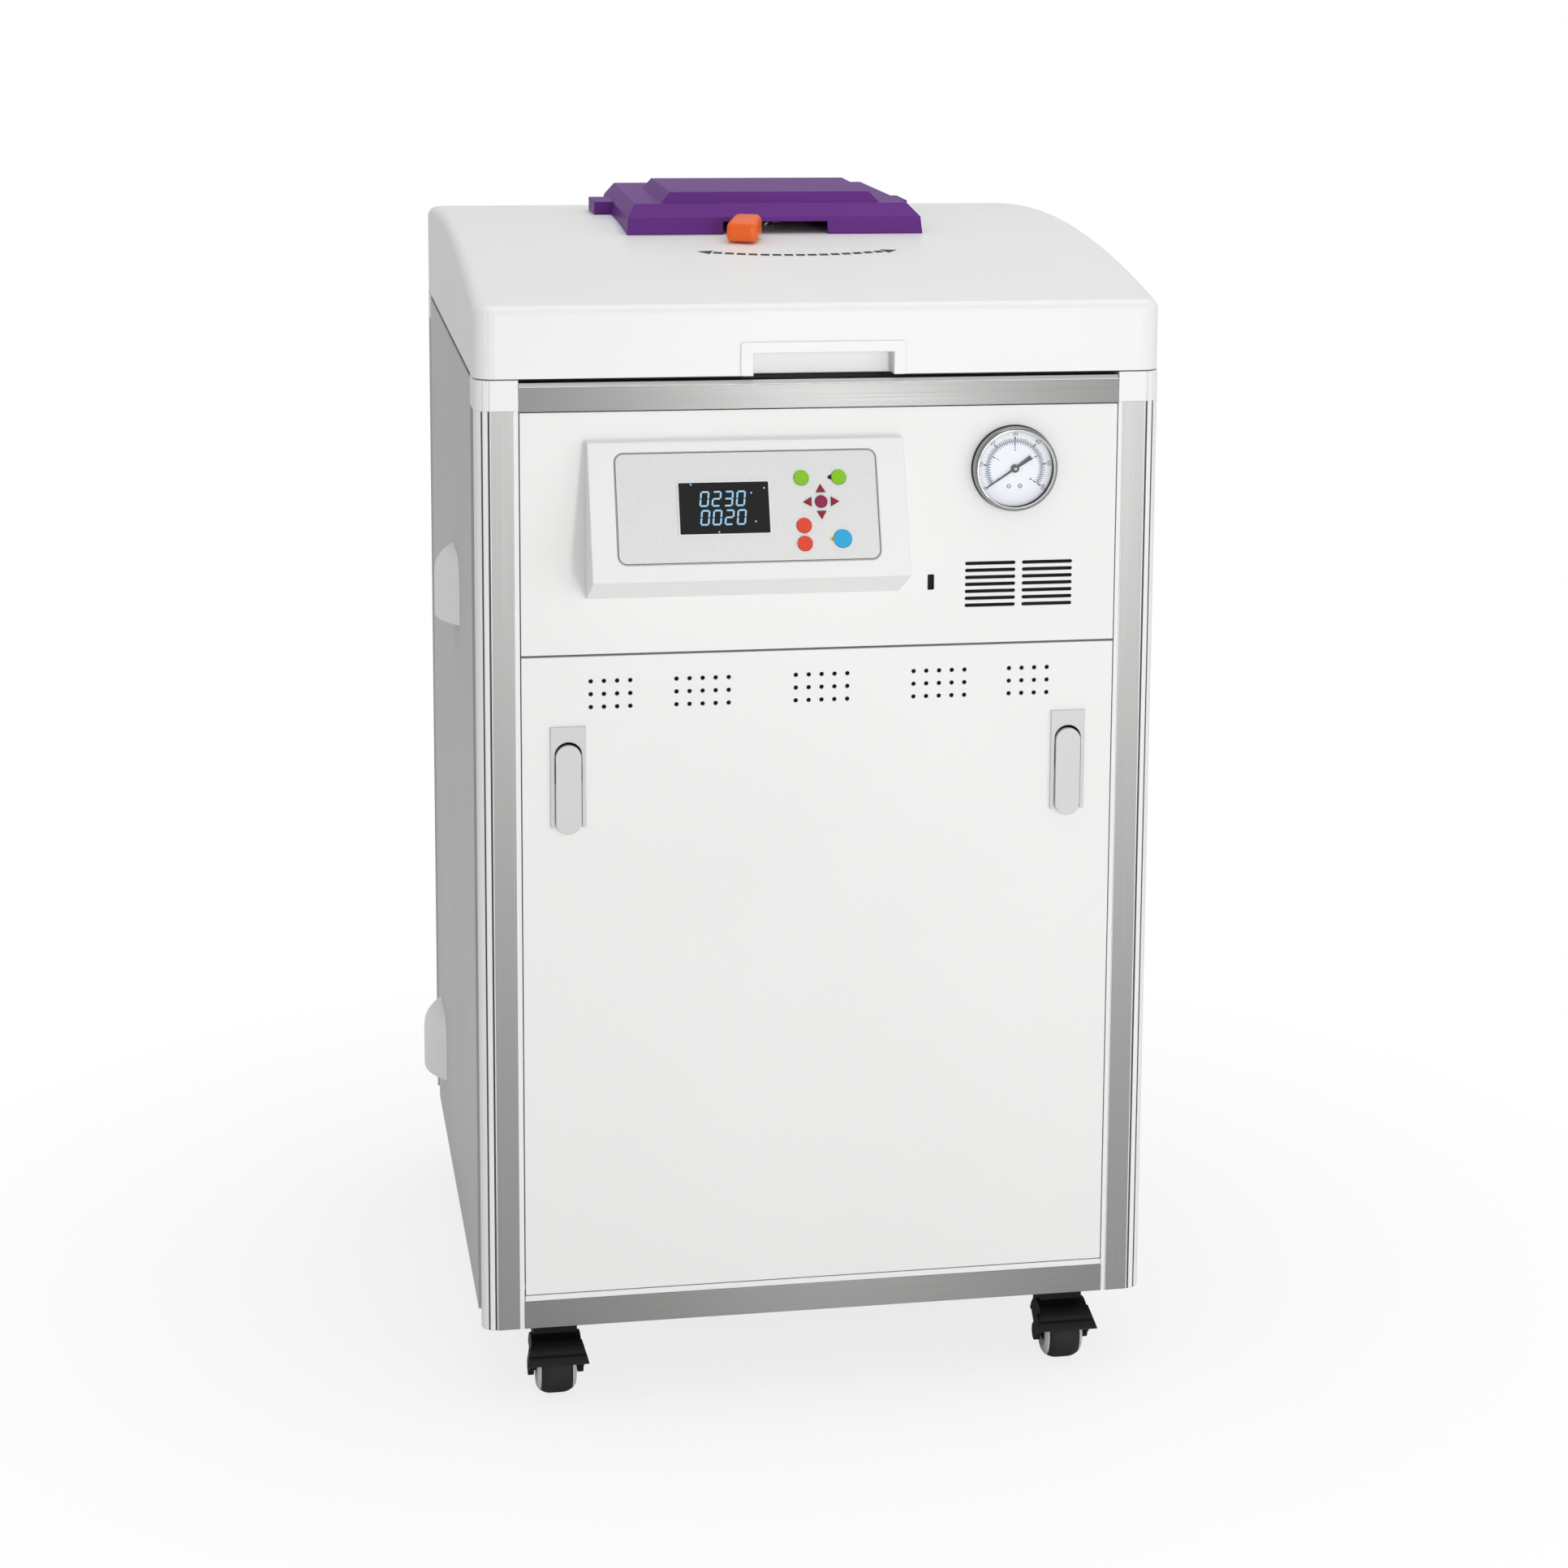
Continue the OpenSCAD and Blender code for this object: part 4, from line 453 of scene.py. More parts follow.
black_ink = soft_finish("black_ink", "#1a1a1c", "#101012", 0.45, 1.5 * MM)
blue_ink = soft_finish("blue_ink", "#2f5c9c", "#28528e", 0.45, 1.5 * MM)
white_ink = soft_finish("white_ink", "#f2f3f4", "#e8eaec", 0.4, 1.5 * MM)
yellow_ink = soft_finish("yellow_ink", "#f6d21c", "#ecc510", 0.4, 1.5 * MM)
green_key = key_film("green_key_film", "#8ccb1f", "#7fbf17")
red_key = key_film("red_key_film", "#e8492a", "#dc3f22")
maroon_key = key_film("maroon_key_film", "#92214d", "#861c45")
dark_red_key = key_film("dark_red_key_film", "#961e27", "#891921")
blue_key = key_film("blue_key_film", "#2fb0e2", "#27a4d6")
tyre_rubber = soft_finish("tread_rubber", "#1c1e1c", "#141614", 0.7, 2.5 * MM, 0.25)
silicone = soft_finish("silicone_gasket", "#cf5a35", "#bf4f2d", 0.55, 2.0 * MM)
felt = soft_finish("glass_fibre_felt", "#dcd8cb", "#c9c4b5", 0.95, 4.0 * MM, 0.8)
milky = soft_finish("milky_polyethylene", "#e9eae4", "#dfe0d9", 0.4, 8.0 * MM)
window_black = soft_finish("display_glass", "#07080b", "#050508", 0.12, 10.0 * MM, 0.02)
figure_glow = glowing("display_glow", "#9fd0f0", 0.95)
needle_paint = soft_finish("needle_paint", "#241a1c", "#191214", 0.4, 1.0 * MM)
print("finishes so far:", len(bpy.data.materials))

# %% [markdown]
# **The gauge's glass.** It is a clear pressed disc. From outside it shows only as a faint
# reflection over the dial, so it stays almost wholly see-through, with a surface that is
# smooth but for a light haze of handling.

# %% Gauge glass


def clear_glass():
    material, tree, shader, where = new_finish("gauge_glass")
    haze = add_node(tree, "ShaderNodeTexNoise", {"Scale": 60.0}, {"Vector": where})
    rough = add_node(tree, "ShaderNodeMapRange", {"To Min": 0.03, "To Max": 0.08},
                     {0: haze.outputs[0]})
    tree.links.new(rough.outputs[0], shader.inputs["Roughness"])
    shader.inputs["Base Color"].default_value = paint("#fbfdff")
    shader.inputs["IOR"].default_value = 1.5
    shader.inputs["Alpha"].default_value = 0.04
    return material


glass = clear_glass()
print("glass made:", glass.name)

# %% [markdown]
# **Finishes on the CAD nodes.** The nodes whose shapes are right stay as they are and only
# get their material. A table says which finish goes on which nodes.

# %% Give the nodes their finishes
finishes = {
    white_coat: ["control_panel", "front_panel", "top_deck"],
    grey_coat: ["side_panels", "rear_panel"],
    dark_coat: ["base_frame", "deck_frame", "lid_frame"],
    enamel: ["gauge_dial"],
    white_abs: ["corner_caps", "control_console", "lid_hood", "hood_handle", "vent_hoods"],
    purple_abs: ["lock_cover"],
    grey_abs: ["latch_plates", "latch_paddle_left", "latch_paddle_right"],
    black_nylon: ["cable_gland"] + [n for n in nodes if n.startswith("caster_fork")],
    post_finish: ["corner_posts"],
    rail_finish: ["front_rails"],
    stainless: ["chamber", "heater_guard", "basket", "door_plate", "chamber_flange",
                "lock_lever", "lock_bolt_left", "lock_bolt_right"],
    bezel_chrome: ["gauge_case"],
    zinc: ["caster_plates"],
    brass: ["pipework"],
    sheath: ["heater"],
    film: ["keypad_plate"],
    glass: ["gauge_lens"],
    needle_paint: ["gauge_needle"],
    silicone: ["door_gasket"],
    felt: ["insulation_jacket"],
    milky: ["exhaust_bottle"],
    green_key: ["key_green_left", "key_green_right"],
    red_key: ["key_red_upper", "key_red_lower"],
    maroon_key: ["key_centre"],
    dark_red_key: ["key_up", "key_down", "key_left", "key_right"],
    blue_key: ["key_blue"],
}
dressed = set()
for material, names in finishes.items():
    for name in names:
        nodes[name].data.materials.clear()
        nodes[name].data.materials.append(material)
        dressed.add(name)
print("nodes left for pieces of their own:", sorted(set(nodes) - dressed))

# %% [markdown]
# A few helpers make the added pieces. The first turns points and faces into an object that
# moves with its body. The second turns its faces outwards. The third raises flat outlines by
# a thickness, which serves for printed ink as well as for sheet cut to a section: whoever
# calls it says where a point of the outline goes.

# %% Helpers for pieces
INK_FOOT = 0.02  # a print starts this far out of its face, in millimetres


def make_piece(name, points, faces, material, body, smooth=False):
    """An object from points in metres and faces, riding on a body."""
    mesh = bpy.data.meshes.new(name)
    mesh.from_pydata([tuple(p) for p in points], [], faces)
    mesh.validate()
    mesh.materials.append(material)
    mesh.polygons.foreach_set("use_smooth", [smooth] * len(mesh.polygons))
    piece = bpy.data.objects.new(name, mesh)
    bpy.context.scene.collection.objects.link(piece)
    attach(piece, body)
    return piece


def mend_normals(piece):
    """Turns all faces of a closed piece outwards."""
    shell = bmesh.new()
    shell.from_mesh(piece.data)
    bmesh.ops.remove_doubles(shell, verts=shell.verts, dist=1e-6)
    bmesh.ops.recalc_face_normals(shell, faces=shell.faces)
    shell.to_mesh(piece.data)
    shell.free()
    return piece


def print_on(name, outlines, spot, thick, material, body):
    """Outlines in millimetres, raised by thick and put in place by spot(x, y, out)."""
    points, faces = [], []
    for outline in outlines:
        n, start = len(outline), len(points)
        points += [spot(x, y, INK_FOOT) for x, y in outline]
        points += [spot(x, y, thick) for x, y in outline]
        faces.append(list(range(start + n, start + 2 * n)))
        faces.append(list(range(start + n - 1, start - 1, -1)))
        faces += [[start + i, start + (i + 1) % n, start + n + (i + 1) % n, start + n + i]
                  for i in range(n)]
    return mend_normals(make_piece(name, points, faces, material, body))


def disc(x, y, r, steps=32):
    return [(x + r * cos(2 * pi * i / steps), y + r * sin(2 * pi * i / steps))
            for i in range(steps)]


def rounded_frame(x, v, w, h, r, steps=8):
    """The outline of a rectangle with round corners, about its middle x, v."""
    outline = []
    for quarter, (right, down) in enumerate(((1, 1), (-1, 1), (-1, -1), (1, -1))):
        cx, cv = x + right * (w / 2 - r), v + down * (h / 2 - r)
        turns = [pi / 2 * (quarter + i / steps) for i in range(steps + 1)]
        outline += [(cx + r * cos(a), cv + r * sin(a)) for a in turns]
    return outline


print("points in a rounded frame:", len(rounded_frame(0, 0, 4, 3, 1)))

# %% [markdown]
# **The display.** It shows two rows of figures on a black glass, lit pale blue. Each figure
# is made of up to seven bars, slanted a little, as on the real display. The figures are a
# temperature and a time, so they are only numbers. A thin white line is printed round the
# window, and a few small dots are lit beside the figures.

# %% Display window and its figures
BARS = {"0": "abcdef", "2": "abged", "3": "abgcd"}
WINDOW_X, WINDOW_V, WINDOW_W, WINDOW_H = -92.5, 60.0, 81.0, 48.0
WINDOW_LIFT = 1.2
BORDER = 1.2
FIGURE_W, FIGURE_H, BAR, BAR_GAP, SLANT = 6.6, 12.4, 1.5, 0.45, 0.12
FIRST_FIGURE, FIGURE_STEP = -113.6, 10.6
LIT_DOTS = ((-121, 38.8), (-57, 43), (-68.5, 47), (-65.5, 72.5), (-98, 81.2))


def figure_bars(sign, x, v):
    """The bars of one figure as slanted quads, at its upper left corner x, v."""
    w, h, mid, half = FIGURE_W, FIGURE_H, FIGURE_H / 2, BAR / 2
    spans = {"a": (0, 0, w, 0), "d": (0, h, w, h), "g": (0, mid, w, mid), "f": (0, 0, 0, mid),
             "e": (0, mid, 0, h), "b": (w, 0, w, mid), "c": (w, mid, w, h)}
    quads = []
    for bar in BARS[sign]:
        x0, v0, x1, v1 = spans[bar]
        side, end = (BAR_GAP, -half) if v0 == v1 else (-half, BAR_GAP)
        corners = [(x0 + side, v0 + end), (x1 - side, v0 + end), (x1 - side, v1 - end),
                   (x0 + side, v1 - end)]
        quads.append([(x + a + (h - b) * SLANT, v + b) for a, b in corners])
    return quads


def face_spot(lift):
    """Places a print on the console's face, lift millimetres out of it."""
    return lambda x, v, out: on_face(x, v, lift + out)


print_on("display_border", [rounded_frame(WINDOW_X, WINDOW_V, WINDOW_W, WINDOW_H, 1.4)],
         face_spot(WINDOW_LIFT), 0.1, white_ink, "cabinet")
print_on("display_black", [rounded_frame(WINDOW_X, WINDOW_V, WINDOW_W - 2 * BORDER,
                                         WINDOW_H - 2 * BORDER, 0.8)],
         face_spot(WINDOW_LIFT + 0.05), 0.15, window_black, "cabinet")
bars = []
for row_v, signs in ((45.6, "0230"), (62.2, "0020")):
    for i, sign in enumerate(signs):
        bars += figure_bars(sign, FIRST_FIGURE + i * FIGURE_STEP, row_v)
bars += [disc(x, v, 0.8, 12) for x, v in LIT_DOTS]
print_on("display_figures", bars, face_spot(WINDOW_LIFT + 0.15), 0.15, figure_glow, "cabinet")
print("display bars and dots:", len(bars))

# %% [markdown]
# **Round the keys.** The film has a dark line near its edge, which is a flat band between two
# rounded outlines. Three of the keys carry a small printed tab beside them: black, white and
# yellow.

# %% Film outline and key tabs
KEYPAD_X, KEYPAD_V, KEYPAD_W, KEYPAD_H, KEYPAD_CORNER = -71.5, 59.0, 230.0, 99.0, 8.0
FILM_LIFT = 0.4
LINE_OUT, LINE_IN = 0.2, 1.1
TAB_R, TAB_REACH, TAB_FLARE = 1.7, 2.2, 2.6


def ring_piece(name, outer, inner, spot, thick, material, body):
    """A flat band between two outlines of equal count."""
    n = len(outer)
    points = []
    for out in (INK_FOOT, thick):
        points += [spot(x, y, out) for x, y in outer] + [spot(x, y, out) for x, y in inner]
    faces = []
    for i in range(n):
        j = (i + 1) % n
        faces += [[2 * n + i, 2 * n + j, 3 * n + j, 3 * n + i], [i, n + i, n + j, j],
                  [i, j, 2 * n + j, 2 * n + i], [n + i, 3 * n + i, 3 * n + j, n + j]]
    return mend_normals(make_piece(name, points, faces, material, body))


def film_frame(inset, corner_r):
    """The film's outline, set back from its edge."""
    return rounded_frame(KEYPAD_X, KEYPAD_V, KEYPAD_W - 2 * inset, KEYPAD_H - 2 * inset, corner_r)


# A warm grey band drawn near the film's edge
film_edge_grey = soft_finish("film_edge_grey", "#7d7873", "#736e69", 0.4, 2 * MM)
ring_piece("film_outline", film_frame(LINE_OUT, KEYPAD_CORNER),
           film_frame(LINE_IN, KEYPAD_CORNER - (LINE_IN - LINE_OUT)), face_spot(FILM_LIFT), 0.08,
           film_edge_grey, "cabinet")
for name, x, v, ink in (("tab_black", 1.2, 34.4, black_ink), ("tab_white", -31.4, 93.0, white_ink),
                        ("tab_yellow", 0.6, 89.6, yellow_ink)):
    wedge = [(x, v - TAB_R), (x + TAB_REACH, v - TAB_FLARE), (x + TAB_REACH, v + TAB_FLARE),
             (x, v + TAB_R)]
    print_on(name, [disc(x, v, TAB_R, 20), wedge], face_spot(FILM_LIFT), 0.35, ink, "cabinet")
print("tabs beside the keys: 3")

# %% [markdown]
# **The gauge's face.** Two scales are printed on the enamel: a black one outside, from 0 to
# 60, and a blue one inside, from 0 to 4. Both sweep from lower left to lower right. Ticks are
# thin quads, a little bolder than real so that they hold at this size, and the numbers are
# text turned to mesh, each leaning with its own radius.

# %% Gauge scales
GAUGE_X, GAUGE_H = 172.0, 779.0
PANEL_DEPTH, DIAL_OUT = 1.0, 4.0
SCALE_START, SCALE_SWEEP = 214.0, 248.0
SCALE_INK = 0.06
NUMBER_LEAN = 0.8


def gauge_spot(x, y, out):
    """A point of the dial, from millimetres about its centre and out of its face."""
    return place(GAUGE_X + x, PANEL_DEPTH - DIAL_OUT - out, GAUGE_H + y)


def tick(turn, r0, r1, w):
    """A thin quad along a radius, from r0 to r1."""
    along = Vector((cos(radians(turn)), sin(radians(turn))))
    side = Vector((-along.y, along.x)) * w / 2
    return [tuple(along * r0 - side), tuple(along * r1 - side), tuple(along * r1 + side),
            tuple(along * r0 + side)]


def scale_ticks(count, r, kinds):
    """Ticks of a whole scale at radius r; a kind is (every how many, length outwards, width)."""
    marks = []
    for i in range(count + 1):
        length, width = next((length, width) for every, length, width in kinds if i % every == 0)
        marks.append(tick(SCALE_START - SCALE_SWEEP * i / count, min(r, r + length),
                          max(r, r + length), width))
    return marks


def arc_band(r, w, steps=64):
    """The thin arc that the ticks stand on, as short quads."""
    turns = [radians(SCALE_START - SCALE_SWEEP * i / steps) for i in range(steps + 1)]
    far, near = r + w / 2, r - w / 2
    return [[(far * cos(a), far * sin(a)), (far * cos(b), far * sin(b)),
             (near * cos(b), near * sin(b)), (near * cos(a), near * sin(a))]
            for a, b in zip(turns, turns[1:])]


def dial_number(text, turn, r, size, ink):
    """A number on the dial, leaning with its radius."""
    words = bpy.data.curves.new("number_" + text, "FONT")
    words.body, words.size, words.align_x, words.align_y = text, size * MM, "CENTER", "CENTER"
    words.extrude = 0.03 * MM
    words.materials.append(ink)
    number = bpy.data.objects.new("dial_number_%s_%d" % (text, r), words)
    bpy.context.scene.collection.objects.link(number)
    spot = gauge_spot(r * cos(radians(turn)), r * sin(radians(turn)), 0.04)
    upright = Matrix.Rotation(pi / 2, 4, "X")
    lean = Matrix.Rotation(radians((turn - 90) * NUMBER_LEAN), 4, "Z")
    number.matrix_world = Matrix.Translation(spot) @ upright @ lean
    bpy.context.view_layer.update()
    shaped = number.evaluated_get(bpy.context.evaluated_depsgraph_get())
    solid = bpy.data.objects.new(number.name + "_mesh", bpy.data.meshes.new_from_object(shaped))
    solid.matrix_world = number.matrix_world.copy()
    bpy.context.scene.collection.objects.link(solid)
    bpy.data.objects.remove(number)
    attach(solid, "cabinet")


black_marks = scale_ticks(60, 25.0, ((10, 3.74, 1.2), (5, 2.86, 0.65), (1, 2.2, 0.65)))
blue_marks = scale_ticks(40, 23.6, ((10, -3.4, 1.1), (1, -1.8, 0.6)))
print_on("gauge_black_scale", black_marks + arc_band(24.8, 0.5), gauge_spot, SCALE_INK, black_ink,
         "cabinet")
print_on("gauge_blue_scale", blue_marks + arc_band(23.8, 0.5), gauge_spot, SCALE_INK, blue_ink,
         "cabinet")
for last, step, r, size, ink in ((6, 10, 31.2, 5.2, black_ink), (4, 1, 17.4, 4.8, blue_ink)):
    for i in range(last + 1):
        dial_number(str(i * step), SCALE_START - SCALE_SWEEP * i / last, r, size, ink)
print("ticks:", len(black_marks), "and", len(blue_marks), "- numbers: 12")

# %% [markdown]
# ** Painted shade round the gauge.** A black ring on the panel round the case is painted
# shade for the gap and the dark reflection at the case's edge, and a thin black line inside
# the glass is the painted shadow of the bezel's inner lip. Both are flat rings: the first lies
# on the panel round the case, the second at the edge of the dial.

# %% Painted shade rings of the gauge
EDGE_SHADE_R, EDGE_SHADE_BORE = 38.7, 37.4
INNER_SHADE_R, INNER_SHADE_BORE = 34.9, 34.1
RING_STEPS = 72
# Painted shade: a black finish for two rings that stand in for the shade at the gauge's edges
painted_ring_shade = soft_finish("painted_ring_shade", "#2a2b2c", "#202122", 0.6, 2.0 * MM)


def panel_spot(x, y, out):
    """A point about the gauge's centre, out of the panel instead of the dial."""
    return gauge_spot(x, y, out - DIAL_OUT)


# Painted shade for the gap and the dark reflection where the case meets the panel
ring_piece("gauge_edge_shade", disc(0, 0, EDGE_SHADE_R, RING_STEPS), disc(0, 0, EDGE_SHADE_BORE, RING_STEPS),
           panel_spot, 0.9, painted_ring_shade, "cabinet")
# Painted shadow of the bezel's inner lip at the edge of the dial
ring_piece("gauge_inner_shade", disc(0, 0, INNER_SHADE_R, RING_STEPS),
           disc(0, 0, INNER_SHADE_BORE, RING_STEPS), gauge_spot, 0.3, painted_ring_shade, "cabinet")
print("edge_shade_ring", 2 * EDGE_SHADE_R, "mm wide")

# %% [markdown]
# **Screws.** Small screw heads are lathed: a profile of radius and height is turned about an
# axis. Two hold the dial, and zinc-plated pan heads hold the rear panel to the frame.

# %% Lathe and screws
CABINET_DEEP = 690
REAR_COLUMNS, REAR_ROWS = (-255, 0, 255), (40, 300, 560, 824)


def lathe(name, profile, centre, axis, material, body, steps=32, loop=False):
    """(radius, height) points in millimetres turned about an axis; a loop makes a ring."""
    axis = Vector(axis).normalized()
    side = axis.orthogonal().normalized()
    other = axis.cross(side)
    points, faces = [], []
    for r, h in profile:
        for i in range(steps):
            turn = 2 * pi * i / steps
            radial = side * cos(turn) + other * sin(turn)
            points.append(centre + axis * h * MM + radial * r * MM)
    rows = len(profile)
    for k in range(rows if loop else rows - 1):
        low, high = k * steps, (k + 1) % rows * steps
        for i in range(steps):
            j = (i + 1) % steps
            faces.append([low + i, low + j, high + j, high + i])
    if not loop:
        faces.append(list(range(steps))[::-1])
        faces.append([(rows - 1) * steps + i for i in range(steps)])
    return mend_normals(make_piece(name, points, faces, material, body, smooth=True))


def pan_head(r, h):
    """The domed profile of a pan head, from its rim to almost its middle."""
    turns = [radians(t) for t in (15, 35, 55, 75, 88)]
    return [(r, 0.0)] + [(r * cos(a), h * sin(a)) for a in turns]


for i, x in enumerate((-5.1, 5.1), 1):
    lathe("dial_screw_%d" % i, pan_head(2.1, 0.6), gauge_spot(x, -16.0, 0.0), (0, -1, 0), zinc,
          "cabinet", 20)
# The louvres leave the middle column only its end screws
rear_spots = [(x, h) for x in REAR_COLUMNS for h in REAR_ROWS
              if x or h in (REAR_ROWS[0], REAR_ROWS[-1])]
for i, (x, h) in enumerate(rear_spots, 1):
    lathe("rear_screw_%d" % i, pan_head(3.6, 2.2), place(x, CABINET_DEEP, h), (0, 1, 0), zinc,
          "cabinet", 20)
print("screws on the rear panel:", len(rear_spots))

# %% [markdown]
# **The lever's scale.** A dashed arc with an arrowhead at each end is printed on the hood in
# front of the lock, and shows which way the lever swings. It follows the arch of the hood, so
# each dash takes its height from the same arch as the hood itself. As in the photo, the print
# sits a few millimetres right of the middle.

# %% Arch of the hood and the lever's scale
CREST, CREST_DEPTH, ARCH_R = 964.5, 430.0, 2450.0
SCALE_R, SCALE_X, SCALE_CENTRE = 232.0, 7.0, 410.0
DASH_WIDE = 7.6
HEAD_HALF = 8.0
DASH_TURN, DASH_STEP, HEAD_START, HEAD_TIP = 1.0, 2.7, 20.4, 23.8  # degrees


def arch(depth):
    """The height of the hood's top at a depth."""
    return CREST - (depth - CREST_DEPTH) ** 2 / (2 * ARCH_R)


def hood_spot(x, depth, out):
    return place(x, depth, arch(depth) + out)


def arc_point(turn, r):
    return (SCALE_X + r * sin(radians(turn)), SCALE_CENTRE - r * cos(radians(turn)))


near, far = SCALE_R - DASH_WIDE / 2, SCALE_R + DASH_WIDE / 2
dashes = []
for i in range(-7, 8):
    a, b = i * DASH_STEP - DASH_TURN, i * DASH_STEP + DASH_TURN
    dashes.append([arc_point(a, near), arc_point(b, near), arc_point(b, far), arc_point(a, far)])
for s in (-1, 1):
    dashes.append([arc_point(s * HEAD_START, SCALE_R - HEAD_HALF), arc_point(s * HEAD_TIP, SCALE_R),
                   arc_point(s * HEAD_START, SCALE_R + HEAD_HALF)])
print_on("lever_scale", dashes, hood_spot, 0.12, black_ink, "lid")
print("dashes on the hood:", len(dashes) - 2)

# %% [markdown]
# **The lever's knob.** It is a soft orange moulding with full round edges, so a block with the
# knob's corners is bevelled all round. Its corners are counted from the lever's axle, forward
# along the lever and up from the cabinet's base, and turned with the lever's place at rest.

# %% Knob of the lever
LEVER_TURN = radians(17.5)
AXLE_DEPTH = 360.0
KNOB_EDGE = 6.0
# Forward, height and across: the lower four corners, then the upper four
KNOB_CORNERS = ((136.0, 957.3, -15.0), (136.0, 957.3, 15.0), (95.0, 961.2, 14.0),
                (95.0, 961.2, -14.0), (135.5, 977.0, -14.2), (135.5, 977.0, 14.2),
                (95.0, 982.0, 13.4), (95.0, 982.0, -13.4))


def lever_spot(forward, height, across):
    """A point from millimetres forward of the lever's axle, over the base and across."""
    return place(across * cos(LEVER_TURN) - forward * sin(LEVER_TURN),
                 AXLE_DEPTH - across * sin(LEVER_TURN) - forward * cos(LEVER_TURN), height)


def rounded_block(name, corners, edge, material, body, steps=5):
    """A block with eight corners, four below and four above, and round edges."""
    sides = [[0, 3, 2, 1], [4, 5, 6, 7], [0, 1, 5, 4], [1, 2, 6, 5], [2, 3, 7, 6], [3, 0, 4, 7]]
    piece = make_piece(name, corners, sides, material, body)
    shell = bmesh.new()
    shell.from_mesh(piece.data)
    bmesh.ops.bevel(shell, geom=shell.verts[:] + shell.edges[:], offset=edge * MM,
                    segments=steps, profile=0.5, affect="EDGES", clamp_overlap=True)
    bmesh.ops.recalc_face_normals(shell, faces=shell.faces)
    for face in shell.faces:
        face.smooth = True
    shell.to_mesh(piece.data)
    shell.free()
    return piece


knob = rounded_block("knob", [lever_spot(*corner) for corner in KNOB_CORNERS], KNOB_EDGE,
                     orange_abs, "lever")
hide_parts("lever_knob")
print("knob edges round at", KNOB_EDGE, "mm")

# %% [markdown]
# **Brake pedals.** A pedal is pressed from sheet: its plate lies over the hood of the fork and
# flares to a lip for the toe, and an arm at each side goes down to the axle. The plate's
# section is drawn as forward and up from the axle and pushed out along it.

# %% Brake pedals
PLATE_IN, PLATE_OUT, PEDAL_HALF = 31.0, 33.4, 28.0
FLARE, FLARE_FROM = 0.012, 14
ARM_STARTS = (("l", -25.2), ("r", 22.8))
ARM_THICK = 2.4


def arc_part(r, turns):
    return [(r * cos(radians(a)), r * sin(radians(a))) for a in turns]


def axle_spot(middle, start, flare=0.0):
    """Places a section on an axle: forward, up, and out from start; flare narrows its top."""
    def spot(forward, up, out):
        width = 1 - flare * max(0, up - FLARE_FROM)
        return middle + Vector(((start + out) * width * MM, -forward * MM, up * MM))
    return spot


toe_lip = [(33.0, 12.4), (34.8, 13.6), (29.2, 18.6)]
plate_section = (arc_part(PLATE_IN, (62, 56, 50, 44, 38, 33)) + toe_lip
                 + arc_part(PLATE_OUT, (37, 44, 50, 56, 62)))
arm_section = arc_part(8.0, range(140, 351, 15)) + [(27.0, 15.6), (27.4, 17.6), (12.6, 22.4),
                                                    (-3.0, 7.6)]
for corner in ("fl", "fr"):
    low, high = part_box("caster_wheel_" + corner)
    middle = (low + high) / 2
    plate = print_on("pedal_plate_" + corner, [plate_section],
                     axle_spot(middle, -PEDAL_HALF, FLARE), 2 * PEDAL_HALF, black_nylon,
                     "pedal_" + corner)
    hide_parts("brake_pedal_" + corner)
    for name, start in ARM_STARTS:
        print_on("pedal_arm_%s_%s" % (corner, name), [arm_section], axle_spot(middle, start),
                 ARM_THICK, black_nylon, "pedal_" + corner)
print("pedals pressed: 2")

# %% [markdown]
# ** Painted shade and painted light.** Behind the small holes and the grille sits a black
# sheet, painted shade that makes them look black from outside, as the dark inside would. A
# pale strip over the lower rail is painted light that closes the shaded gap there, and a bright
# metal strip along the upper rail under the hood is a painted highlight of its edge. All are
# straight strips across the machine, each pushed out from its section.

# %% Painted shade behind the holes and painted light on the rails
SHADE_SHEET_FRONT, SHADE_SHEET_BACK = 4.4, 4.9
LIGHT_STRIP_HALF = 266.5
# Painted shade: a black sheet behind the holes and the grille for the shade inside the cabinet
shade_sheet = soft_finish("black_painted_shade", "#17181a", "#0d0e10", 0.85, 1.2 * MM, 0.4)
# Painted highlight: a bright metal finish for the highlight on the upper rail's top edge
painted_rail_highlight = extrusion("painted_rail_highlight", 2, "#e6e6e5", "#dadad9")[0]


def sheet_piece(name, x0, x1, section, material, body):
    """A straight strip across the machine, whose section is given as depth and height."""
    print_on(name, [section], lambda d, h, out: place(x0 + out, d, h), x1 - x0, material, body)


for name, x0, x1, h0, h1, body in (("hole_painted_shade", -222, 222, 567, 602, "service_panel"),
                                   ("grille_painted_shade", 124, 232, 650, 698, "cabinet"),
                                   ("port_painted_shade", 91, 105, 665, 689, "cabinet")):
    section = [(SHADE_SHEET_FRONT, h0), (SHADE_SHEET_BACK, h0), (SHADE_SHEET_BACK, h1), (SHADE_SHEET_FRONT, h1)]
    sheet_piece(name, x0, x1, section, shade_sheet, body)
# Painted light: a pale strip over the shaded gap above the lower rail, as the panel's lit edge
sheet_piece("lower_painted_light", -LIGHT_STRIP_HALF, LIGHT_STRIP_HALF, [(0.2, 25.6), (0.85, 26.0), (0.85, 31.1),
                                               (0.2, 30.9)], white_abs, "cabinet")
# Painted highlight along the upper rail's top edge under the hood
sheet_piece("upper_rail_highlight", -LIGHT_STRIP_HALF, LIGHT_STRIP_HALF, [(0.1, 857.4), (0.8, 857.9), (3.2, 860.9),
                                               (2.6, 861.3)], painted_rail_highlight, "cabinet")
print("shade_sheets: 3, light_strips: 2")

